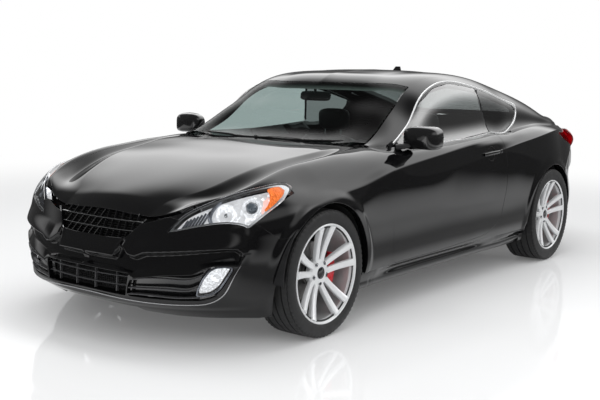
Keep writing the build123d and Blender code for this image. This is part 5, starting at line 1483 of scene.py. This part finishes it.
def tyre_shape(radius, width, middle_y):
    """Tyre about the Y axis with grooves round it and notched shoulders; y is a share of its width."""
    edge = ((236, -0.42), (257, -0.455), (262, -0.475), (272, -0.492), (290, -0.5), (308, -0.493),
            (radius - 12, -0.478), (radius - 6, -0.455))
    tread = []
    for low, high in ((-0.44, -0.31), (-0.275, -0.10), (-0.065, 0.065), (0.10, 0.275), (0.31, 0.44)):
        first, last = (radius - 2.5 * (2 * share) ** 2 for share in (low, high))
        tread += [(first - 8, low - 0.004), (first, low + 0.004),
                  (last, high - 0.004), (last - 8, high + 0.004)]
    profile = (*edge, *tread, *((r, -y) for r, y in reversed(edge)))
    count = 216
    turns = np.linspace(0, 2 * math.pi, count, endpoint=False)
    notch = np.array([0, 0, 1.0] * (count // 3))
    v = []
    for r, y in profile:
        shoulder = smoothstep(0.40, 0.45, abs(y)) * (r > radius - 20)
        reach = r - 4.5 * notch * shoulder
        v.append(np.stack([reach * np.cos(turns), np.full(count, middle_y + y * width),
                           reach * np.sin(turns)], 1))
    return np.concatenate(v), ring_faces(len(profile), count)


def disc_shape(outer_y):
    """Brake disc: face, hat and vented edge."""
    return turned(((62, 1), (68, -0.5), (72, -6), (84, -6.5), (86, -1), (153, -1), (155, -3), (155, -10),
                   (151, -11), (151, -17), (155, -18), (155, -26), (153, -28), (70, -28)), outer_y, 72)


def caliper_shape(axle_x, axle_z, inner_y, outer_y):
    """Caliper bridging the disc's edge behind the axle, rounded and ribbed."""
    middle, bridges = CALIPER_REACH - 38, CALIPER_REACH - 15
    turns = np.linspace(-0.52, 0.52, 18)
    shapes = []
    for y, thick in ((outer_y - 8, 15), (inner_y + 15, 28)):
        path = np.stack([axle_x - middle * np.cos(turns), np.full(18, y), axle_z + middle * np.sin(turns)], 1)
        size = np.clip(1.06 - 0.30 * np.abs(turns / 0.52) ** 3, 0, 1.1)
        shapes.append(sweep(path, oval(62, thick, 18, 3.5), up=WHEEL_WAY, scale=size))
    for turn in (-0.40, 0.0, 0.40):
        x, z = axle_x - bridges * math.cos(turn), axle_z + bridges * math.sin(turn)
        bridge = [(x, y, z) for y in np.linspace(inner_y + 10, outer_y - 4, 6)]
        shapes.append(sweep(bridge, oval(30, 18, 14, 3.5), up=(-math.cos(turn), 0, math.sin(turn))))
    return combine(*shapes)


def wheels():
    """The visible wheels, discs and calipers at both ends of the car."""
    for end, axle, radius, width, middle, rim_out, hub in WHEELS:
        cap, pockets, nuts = wheel_details(hub)
        for name, shape, material, node in (
                ("rim", wheel_rim(rim_out, hub), SILVER, "rim"),
                ("barrel", wheel_barrel(rim_out), BARREL, None), ("cap", cap, GLOSS_PLASTIC, None),
                ("lug_pockets", pockets, SHADOW, None), ("lug_nuts", nuts, DARK_CHROME, None),
                ("tyre", tyre_shape(radius, width, middle), RUBBER, "tyre"),
                ("disc", disc_shape(hub - 59.5), IRON, "brake_disc")):
            left = shape[0] + (axle[0], 0, axle[1]), shape[1]
            for hand, one in zip(HANDS, (left, mirror_image(left))):
                nodes = [f"{end}_{hand}_{node}"] if node else ()
                piece(f"{end}_{hand}_wheel_{name}", one, material, f"{end}_{hand}_wheel", nodes, sharp=32)
    piece_pair("front_caliper_shell", caliper_shape(*FRONT_AXLE, 734, 824), CALIPER,
               ("left_steering_knuckle", "right_steering_knuckle"), ("front_caliper",))
    piece("rear_caliper_shells", both(caliper_shape(*REAR_AXLE, 744, 834)), CALIPER,
          nodes=("rear_calipers",))


window_trim()
mirrors()
handles()
sills()
wheels()


# ------------------------------------------------------------------ tail fittings
def tail_fittings():
    """Diffuser with its fins, plate place with its blank plate, reflectors and pipe tip."""
    for name, outline, inward, material in (
            ("diffuser", at_tail(DIFFUSER, 3), 16, PLASTIC),
            ("plate_place", at_tail(PLATE_PLACE, 3), 15, PAINT)):
        piece(name, sunk(tail_sheet, (outline,), inward), material)
    x = np.linspace(-2060, -2285, 14)
    for y in (-180, 0, 180):
        fin = np.stack([x, y + 0 * x, 214 + 130 * smoothstep(-2060, -2285, x)], 1)
        piece(f"diffuser_fin_{y}".replace("-", "r"), sweep(fin, oval(14, 70, 12, 4)), PLASTIC)
    piece("blank_plate", sunk(tail_sheet, (at_tail(BLANK_PLATE),), 9), PLATE)
    for hand, sign in zip(HANDS, (1, -1)):
        lens = sunk(tail_sheet, (at_tail(REAR_REFLECTOR * (sign, 1), 2),), 2.5)
        piece(f"{hand}_rear_reflector", lens, TAIL_RED)
    tip = lathe(((40, -70), (41, 22), (44, 26), (46, 22), (46, -60)), (-2262, -430, 262), (-1, 0, 0), 48)
    piece("pipe_tip", tip, CHROME)
    piece("pipe_inside", lathe(((40, 0), (0.1, -2)), (-2240, -430, 262), (-1, 0, 0), 32), SHADOW)


def deck_z(x, y):
    """Height of the upper body's surface at a place."""
    return float(deck_height(np.array([[x, y, 0.0]]))[0])


def wipers():
    """Two arms parked along the foot of the screen, with their blades."""
    shapes = []
    for start, end, pivot in ((-560, 20, -575), (-30, 530, -70)):
        blade = [(905 - 105 * (abs(y) / 640) ** 2.2, y) for y in np.linspace(start, end, 30)]
        line = np.array([(x, y, deck_z(x, y) + 5) for x, y in blade])
        line[:, 2] = np.clip(line[:, 2], 944, 958)
        shapes.append(sweep(line, oval(9, 10, 8, 3)))
        middle = line[15]
        hub = np.array((line[0][0] + 6, pivot + 8, 950))
        arm = smooth_line((hub, 0.5 * (hub + middle) + (3, 0, 8), middle + (0, 0, 6)), 20)
        shapes.append(sweep(arm, oval(15, 6, 8, 3), scale=np.linspace(1.2, 0.55, 20)))
        shapes.append(lathe(((11, -6), (11, 8), (6, 12), (0.1, 12.5)), hub, (0.2, 0, 1), 20))
    piece("wiper_set", combine(*shapes), PLASTIC, nodes=("wipers",))


def rounded_ends(count, first, last, power=3.0):
    """Size of each section along a cushion, full in the middle and drawn in at its ends."""
    t = np.linspace(-1, 1, count)
    low = np.where(t < 0, first, last)
    return low + (1 - low) * (1 - np.abs(t) ** power) ** (1 / power)


def bolstered(half, thick, hollow, wing, count=56):
    """Seat section: dished middle between raised side bolsters, rounded back."""
    knots = np.array(((0, thick * 0.32), (half * 0.45, thick * 0.36), (half * 0.62, thick * 0.42 + hollow),
                      (half * 0.78, thick * 0.45 + wing), (half * 0.93, thick * 0.42 + wing),
                      (half, thick * 0.1 + wing * 0.3), (half * 0.97, -thick * 0.35),
                      (half * 0.7, -thick * 0.5), (0, -thick * 0.55)))
    loop = np.concatenate([knots, knots[-2:0:-1] * (-1, 1)])
    closed = np.concatenate([loop, loop[:1]])
    t = lengths_along(closed)
    wrap = np.concatenate([closed[-4:-1], closed, closed[1:4]])
    places = np.concatenate([t[-4:-1] - t[-1], t, t[1:4] + t[-1]])
    return natural(places, wrap)(np.linspace(0, t[-1], count, endpoint=False))


def pillow(centre, size, lean=0.0, power=3.0, rows=22, count=36):
    """Closed crowned block of (x, y, z) size about a centre, leaning back."""
    t = np.linspace(-1, 1, rows)[:, None]
    share = np.clip(1 - np.abs(t) ** power, 0.02, 1) ** (1 / power)
    ring = oval(size[0], size[2], count, 2.6)
    x, z = ring[:, 0] * share, ring[:, 1] * (0.35 + 0.65 * share)
    c, q = math.cos(lean), math.sin(lean)
    v = np.stack([x * c - z * q, t * size[1] / 2 + 0 * x, x * q + z * c], 2).reshape(-1, 3) + centre
    return v, ring_faces(rows, count) + end_caps(rows, count)


def front_seat(y, hand):
    """Bolstered seat with red inserts, headrest, posts and shell."""
    across = (0, y, 0)
    back = smooth_line(((-150, 0, 330), (-196, 0, 470), (-250, 0, 640), (-300, 0, 800), (-330, 0, 890)), 28)
    base = smooth_line(((-170, 0, 380), (-60, 0, 372), (80, 0, 384), (190, 0, 402), (262, 0, 396)), 28)
    for name, path, section, sizes, facing in (
            ("back", back, bolstered(236, 120, 16, 42), rounded_ends(28, 0.8, 0.52, 4), (1, 0, 0.3)),
            ("base", base, bolstered(232, 150, 14, 34), rounded_ends(28, 0.85, 0.72, 4), (0, 0, 1))):
        cushion = sweep(path + across, section, up=facing, scale=sizes)
        piece(f"{hand}_seat_{name}", cushion, LEATHER, nodes=("front_seats",), sharp=60)
    inserts = []
    for path, facing, half, rise in ((back[6:-4], (1, 0, 0.3), 152, 59), (base[5:-4], (0, 0, 1), 150, 70)):
        side_way, lift = frames(path, facing)
        for sign in (-1, 1):
            line = path + across + side_way * (sign * half) + lift * rise
            tilt = np.array(((-20, -6), (20, 14), (22, 8), (-18, -12))) * (sign, 1)
            inserts.append(sweep(line, tilt if sign > 0 else tilt[::-1], up=facing))
    piece(f"{hand}_seat_inserts", combine(*inserts), RED_LEATHER, sharp=60)
    rest = pillow((-338, y, 1012), (92, 262, 158), -0.12)
    piece(f"{hand}_headrest", rest, LEATHER, sharp=60)
    posts = [sweep(((-322, y + d, 880), (-334, y + d, 960)), oval(12, 12, 12)) for d in (-70, 70)]
    piece(f"{hand}_headrest_posts", combine(*posts), CHROME)
    shell = sweep([(x, y, 262) for x in np.linspace(-190, 240, 16)], oval(380, 84, 24, 5),
                  scale=rounded_ends(16, 0.9, 0.9))
    piece(f"{hand}_seat_frame", shell, PLASTIC)


def rear_bench():
    """Rear bench: two hollowed places on a base and a back."""
    for name, path, facing, thick in (
            ("base", ((-880, 0, 400), (-780, 0, 392), (-660, 0, 402), (-560, 0, 398)), (0, 0, 1), 150),
            ("back", ((-806, 0, 440), (-850, 0, 560), (-895, 0, 700), (-916, 0, 830)), (1, 0, 0.4), 110)):
        for hand, y in (("right", -280), ("left", 280)):
            shape = sweep(smooth_line(path, 22) + (0, y, 0), bolstered(262, thick, 12, 22), up=facing,
                          scale=rounded_ends(22, 0.86, 0.82, 4))
            cushion = piece(f"{hand}_rear_bench_{name}", shape, LEATHER, nodes=("rear_seat",), sharp=60)


def steering():
    """Steering wheel: leather rim, three spokes and a blank boss."""
    centre, axis = np.array((335, 370, 755)), np.array((-0.921, 0, 0.391))
    across, rise = np.array((0, 1.0, 0)), np.array((0.391, 0, 0.921))
    turns = np.linspace(0, 2 * math.pi, 72, endpoint=False)
    ring = centre + 178 * (np.cos(turns)[:, None] * across + np.sin(turns)[:, None] * rise)
    piece("steering_rim", sweep(ring, oval(26, 31, 16), up=axis, closed=True), LEATHER,
          "driver_steering_wheel", ("steering_wheel",))
    boss = lathe(((0.1, 22), (34, 20), (58, 12), (64, 0), (56, -22), (30, -34), (0.1, -34)),
                 centre - axis * 22, axis, 40)
    piece("steering_boss", boss, TRIM, "driver_steering_wheel")
    spokes = []
    for turn in (0.08, math.pi - 0.08, -math.pi / 2):
        way = math.cos(turn) * across + math.sin(turn) * rise
        line = np.array([centre - axis * (26 - 22 * t) + way * (48 + 122 * t) for t in np.linspace(0, 1, 8)])
        spokes.append(sweep(line, oval(34, 12, 12, 3), up=axis, scale=np.linspace(1.1, 0.75, 8)))
    piece("steering_spokes", combine(*spokes), GREY_TRIM, "driver_steering_wheel")


def dashboard():
    """Dashboard with its instrument hood, dials, vents, blank screen and trim strip."""
    y = np.linspace(-636, 636, 60)
    section = np.array(((80, -52), (20, -92), (-60, -118), (-125, -112), (-165, -60), (-174, 0), (-168, 60),
                        (-130, 108), (-60, 136), (30, 150), (120, 152), (170, 144), (176, 100), (166, 20)))
    body = sweep(np.stack([620 + 0 * y, y, 750 + 0 * y], 1), section)
    piece("dash_body", body, TRIM, nodes=("dashboard",), sharp=50)
    turns = np.linspace(math.pi * 0.06, math.pi * 0.94, 30)
    arch = np.stack([600 + 0 * turns, 370 + 178 * np.cos(turns), 812 + 78 * np.sin(turns)], 1)
    piece("dash_hood", sweep(arch, oval(250, 13, 14, 4)), TRIM)
    strip = np.stack([450 + 0 * y, y * 0.97, 716 + 0 * y], 1)
    piece("dash_strip", sweep(strip, oval(10, 26, 10, 4)), GREY_TRIM)
    dials = [lathe(((58, 0), (60, 5), (56, 6), (54, 1), (0.1, 0)), (512, 370 + d, 826), (-1, 0, 0.25), 40)
             for d in (-66, 66)]
    piece("dials", combine(*dials), GLOSS_PLASTIC)
    screen = sweep([(452, y, 790) for y in np.linspace(-105, 105, 8)], oval(14, 92, 12, 8))
    piece("blank_screen", screen, GLOSS_PLASTIC)
    vents = [sweep([(452, middle + d, 792) for d in (-52, -20, 20, 52)], oval(16, 58, 12, 5))
             for middle in (-560, -190, 190, 560)]
    piece("vents", combine(*vents), PLASTIC)


def cabin_mirror():
    """Rear-view mirror on its stem."""
    shell = pillow((396, 0, 1196), (30, 232, 62), 0.15, 4.0)
    piece("cabin_mirror_shell", shell, GLOSS_PLASTIC, nodes=("cabin_mirror",))
    stem = smooth_line(((398, 0, 1206), (399, 0, 1226), (400, 0, 1240)), 10)
    piece("cabin_mirror_stem", sweep(stem, oval(22, 16, 12), up=(0, 1, 0)), PLASTIC)


def roof_lining():
    """Roof lining, facing down."""
    v, f = sunk(top_sheet, (plan(ROOF_PLAN, 30),), 34)
    piece("roof_lining", (v, [face[::-1] for face in f]), LINING)


def shifter():
    """Gear stick with its knob."""
    stick = smooth_line(((150, 0, 430), (146, 0, 470), (140, 0, 492)), 10)
    piece("shift_stick", sweep(stick, oval(12, 12, 12), up=(0, 1, 0)), CHROME)
    piece("shift_knob", pillow((138, 0, 498), (40, 40, 40), 0.2, 2.2, 14, 24), LEATHER)


CARRIED = {"black_plastic": PLASTIC, "steel": STEEL, "alloy": ALLOY, "cast_steel": CAST, "disc_iron": IRON,
           "caliper_red": CALIPER, "black_paint": PAINT, "silver_wheel": SILVER, "tyre_rubber": RUBBER,
           "seat_leather": LEATHER, "gloss_black_plastic": GLOSS_PLASTIC, "lamp_glass": LAMP_GLASS,
           "tinted_glass": SIDE_GLASS, "clear_glass": SCREEN_GLASS, "tail_lamp_red": TAIL_RED}
OWN_FINISH = {"floor_pan": CARPET, "centre_console": TRIM, "exhaust": STEEL, "front_arch_liners": CARPET,
              "rear_arch_liners": CARPET}


def carried_over():
    """Finishes of the CAD nodes that are shown as they are."""
    for part in frame["record"]["subparts"]:
        finish = OWN_FINISH.get(part["node"], CARRIED[part["material_slot"]])
        node = frame["nodes"][part["node"]]
        for obj in (node, *node.children_recursive):
            if obj.type == "MESH":
                for slot in obj.material_slots:
                    slot.material = finish


tail_fittings()
wipers()
front_seat(365, "left")
front_seat(-365, "right")
rear_bench()
steering()
dashboard()
cabin_mirror()
roof_lining()
shifter()
carried_over()


# ------------------------------------------------------------------ studio (lengths in metres)
# The reflected soft lights brighten between these parts of the direction from the car.
SOFTBOX_HEIGHT = (0.12, 0.36)    # upward
SOFTBOX_SIDE = (-0.25, -0.55)    # and towards the back of the car
SIDE_BOXES = ((0.55, 0.80), (-0.84, -0.94))    # narrower ones to the left and the right,
SIDE_BOX_HEIGHT = (0.16, 0.34)                 # upward from here
FLOOR_FADE = (3.2, 9.0)          # the floor fades to white over these distances
# In reflections a bright pool starts over these x and ends over these |y|, a dark band beside the car
# rises and falls over these |y|, and the floor is dark again further out.
POOL_AHEAD, POOL_ASIDE = (2.7, 3.5), (1.0, 2.3)
BAND_RISES, BAND_FALLS, FAR_ASIDE = (1.0, 1.4), (1.7, 2.5), (2.6, 5.0)
CAMERA_PLACE, CAMERA_LENS = (5.3313, 3.6292, 1.3389), 56.81
CAMERA_TURN = (217.126, -7.632, -1.233)    # yaw, pitch and roll in degrees


def studio():
    """White surroundings that light the car evenly but reflect in it as soft lights."""
    scene = bpy.context.scene
    scene.view_settings.view_transform = "Standard"
    world = bpy.data.worlds.new("studio")
    scene.world = world
    world.use_nodes = True
    tree = world.node_tree
    lit = tree.nodes["Background"]
    lit.inputs["Color"].default_value = (1, 1, 1, 1)
    lit.inputs["Strength"].default_value = 0.92
    shown = tree.nodes.new("ShaderNodeBackground")
    shown.inputs["Color"].default_value = (1, 1, 1, 1)
    reflected = tree.nodes.new("ShaderNodeBackground")
    way = tree.nodes.new("ShaderNodeSeparateXYZ")
    tree.links.new(tree.nodes.new("ShaderNodeTexCoord").outputs["Generated"], way.inputs["Vector"])
    glow = math_node(tree, "MULTIPLY", eased(tree, way.outputs["Z"], *SOFTBOX_HEIGHT),
                     eased(tree, way.outputs["X"], *SOFTBOX_SIDE))
    raised = eased(tree, way.outputs["Z"], *SIDE_BOX_HEIGHT)
    for low, high in SIDE_BOXES:
        box = eased(tree, way.outputs["Y"], low, high, 0.0, 0.45)
        glow = math_node(tree, "MULTIPLY_ADD", box, raised, glow)
    tree.links.new(math_node(tree, "MULTIPLY_ADD", glow, 2.3, 0.15), reflected.inputs["Strength"])
    ray = tree.nodes.new("ShaderNodeLightPath").outputs
    seen = math_node(tree, "MAXIMUM", ray["Is Camera Ray"], ray["Is Transmission Ray"])
    unseen = blend_shaders(tree, ray["Is Glossy Ray"], lit.outputs["Background"],
                           reflected.outputs["Background"])
    final = blend_shaders(tree, seen, unseen, shown.outputs["Background"])
    tree.links.new(final, tree.nodes["World Output"].inputs["Surface"])


def studio_floor():
    """Large disc that fades into the white surroundings away from the car. In reflections it has a
    bright pool ahead of the car and is dark beside it and further away."""
    mesh = bpy.data.meshes.new("floor")
    count, radius = 96, 40.0
    turns = [2 * math.pi * i / count for i in range(count)]
    ring = [(radius * math.cos(t), radius * math.sin(t), 0) for t in turns]
    mesh.from_pydata(ring, [], [tuple(range(count))])
    floor = bpy.data.objects.new("floor", mesh)
    bpy.context.scene.collection.objects.link(floor)
    m, tree, p = shader("studio_floor", (0.80, 0.805, 0.81), 0.9, 0.0, Specular_IOR_Level=0.0,
                        Emission_Color=(1, 1, 1, 1), Emission_Strength=0.10)
    gloss = tree.nodes.new("ShaderNodeBsdfGlossy")
    gloss.inputs["Color"].default_value = (0.95, 0.95, 0.96, 1)
    vary(tree, noise(tree, 2.5, 4.0), gloss.inputs["Roughness"], 0.05, 0.09)
    place = tree.nodes.new("ShaderNodeTexCoord").outputs["Object"]
    ray = tree.nodes.new("ShaderNodeLightPath").outputs
    length = tree.nodes.new("ShaderNodeVectorMath")
    length.operation = "LENGTH"
    tree.links.new(place, length.inputs[0])
    split = tree.nodes.new("ShaderNodeSeparateXYZ")
    tree.links.new(place, split.inputs["Vector"])
    aside = math_node(tree, "ABSOLUTE", split.outputs["Y"])

    polish = blend_shaders(tree, 0.13, p.outputs["BSDF"], gloss.outputs["BSDF"])
    far = eased(tree, length.outputs["Value"], *FLOOR_FADE, kind="SMOOTHERSTEP")
    faded = blend_shaders(tree, math_node(tree, "MULTIPLY", far, ray["Is Camera Ray"]), polish, glowing(tree))
    pool = math_node(tree, "MULTIPLY", ray["Is Glossy Ray"], eased(tree, split.outputs["X"], *POOL_AHEAD))
    pool = math_node(tree, "MULTIPLY", pool, eased(tree, aside, *POOL_ASIDE, 1.0, 0.0))
    pooled = blend_shaders(tree, pool, faded, glowing(tree, 1.7))
    beside = math_node(tree, "MULTIPLY", eased(tree, aside, *BAND_RISES, 0.0, 0.72),
                       eased(tree, aside, *BAND_FALLS, 1.0, 0.0))
    dark = math_node(tree, "MAXIMUM", eased(tree, aside, *FAR_ASIDE), beside)
    dark = math_node(tree, "MULTIPLY", dark, ray["Is Glossy Ray"])
    final = blend_shaders(tree, dark, pooled, glowing(tree, 0.08))
    tree.links.new(final, tree.nodes["Material Output"].inputs["Surface"])
    mesh.materials.append(m)


def lamp(name, place, aim, size, power):
    """Rectangular light that leaves no glint of its own."""
    data = bpy.data.lights.new(name, "AREA")
    data.shape = "RECTANGLE"
    data.size, data.size_y = size
    data.energy = power
    obj = bpy.data.objects.new(name, data)
    obj.location = place
    obj.rotation_euler = (Vector(aim) - Vector(place)).to_track_quat("-Z", "Y").to_euler()
    obj.visible_glossy = False
    bpy.context.scene.collection.objects.link(obj)


def camera():
    """Three-quarter view from the car's front left, a little above its belt."""
    data = bpy.data.cameras.new("camera")
    data.lens = CAMERA_LENS
    data.sensor_width = 36
    obj = bpy.data.objects.new("camera", data)
    yaw, pitch, roll = (math.radians(a) for a in CAMERA_TURN)
    forward = Vector((math.cos(pitch) * math.cos(yaw), math.cos(pitch) * math.sin(yaw), math.sin(pitch)))
    right = forward.cross(Vector((0, 0, 1))).normalized()
    down = forward.cross(right)
    turned_right = right * math.cos(roll) + down * math.sin(roll)
    turned_down = down * math.cos(roll) - right * math.sin(roll)
    obj.matrix_world = Matrix((turned_right, -turned_down, -forward)).transposed().to_4x4()
    obj.location = CAMERA_PLACE
    bpy.context.scene.collection.objects.link(obj)
    bpy.context.scene.camera = obj


studio()
studio_floor()
camera()
lamp("overhead", (0.3, 0.0, 4.8), (0.1, 0, 0), (5.0, 1.6), 90)
lamp("front_fill", (6.5, 2.5, 3.0), (1.5, 0.2, 0.5), (3.0, 2.0), 45)
lamp("side_fill", (1.0, 6.5, 3.2), (0.2, 0.5, 0.4), (4.0, 2.0), 40)
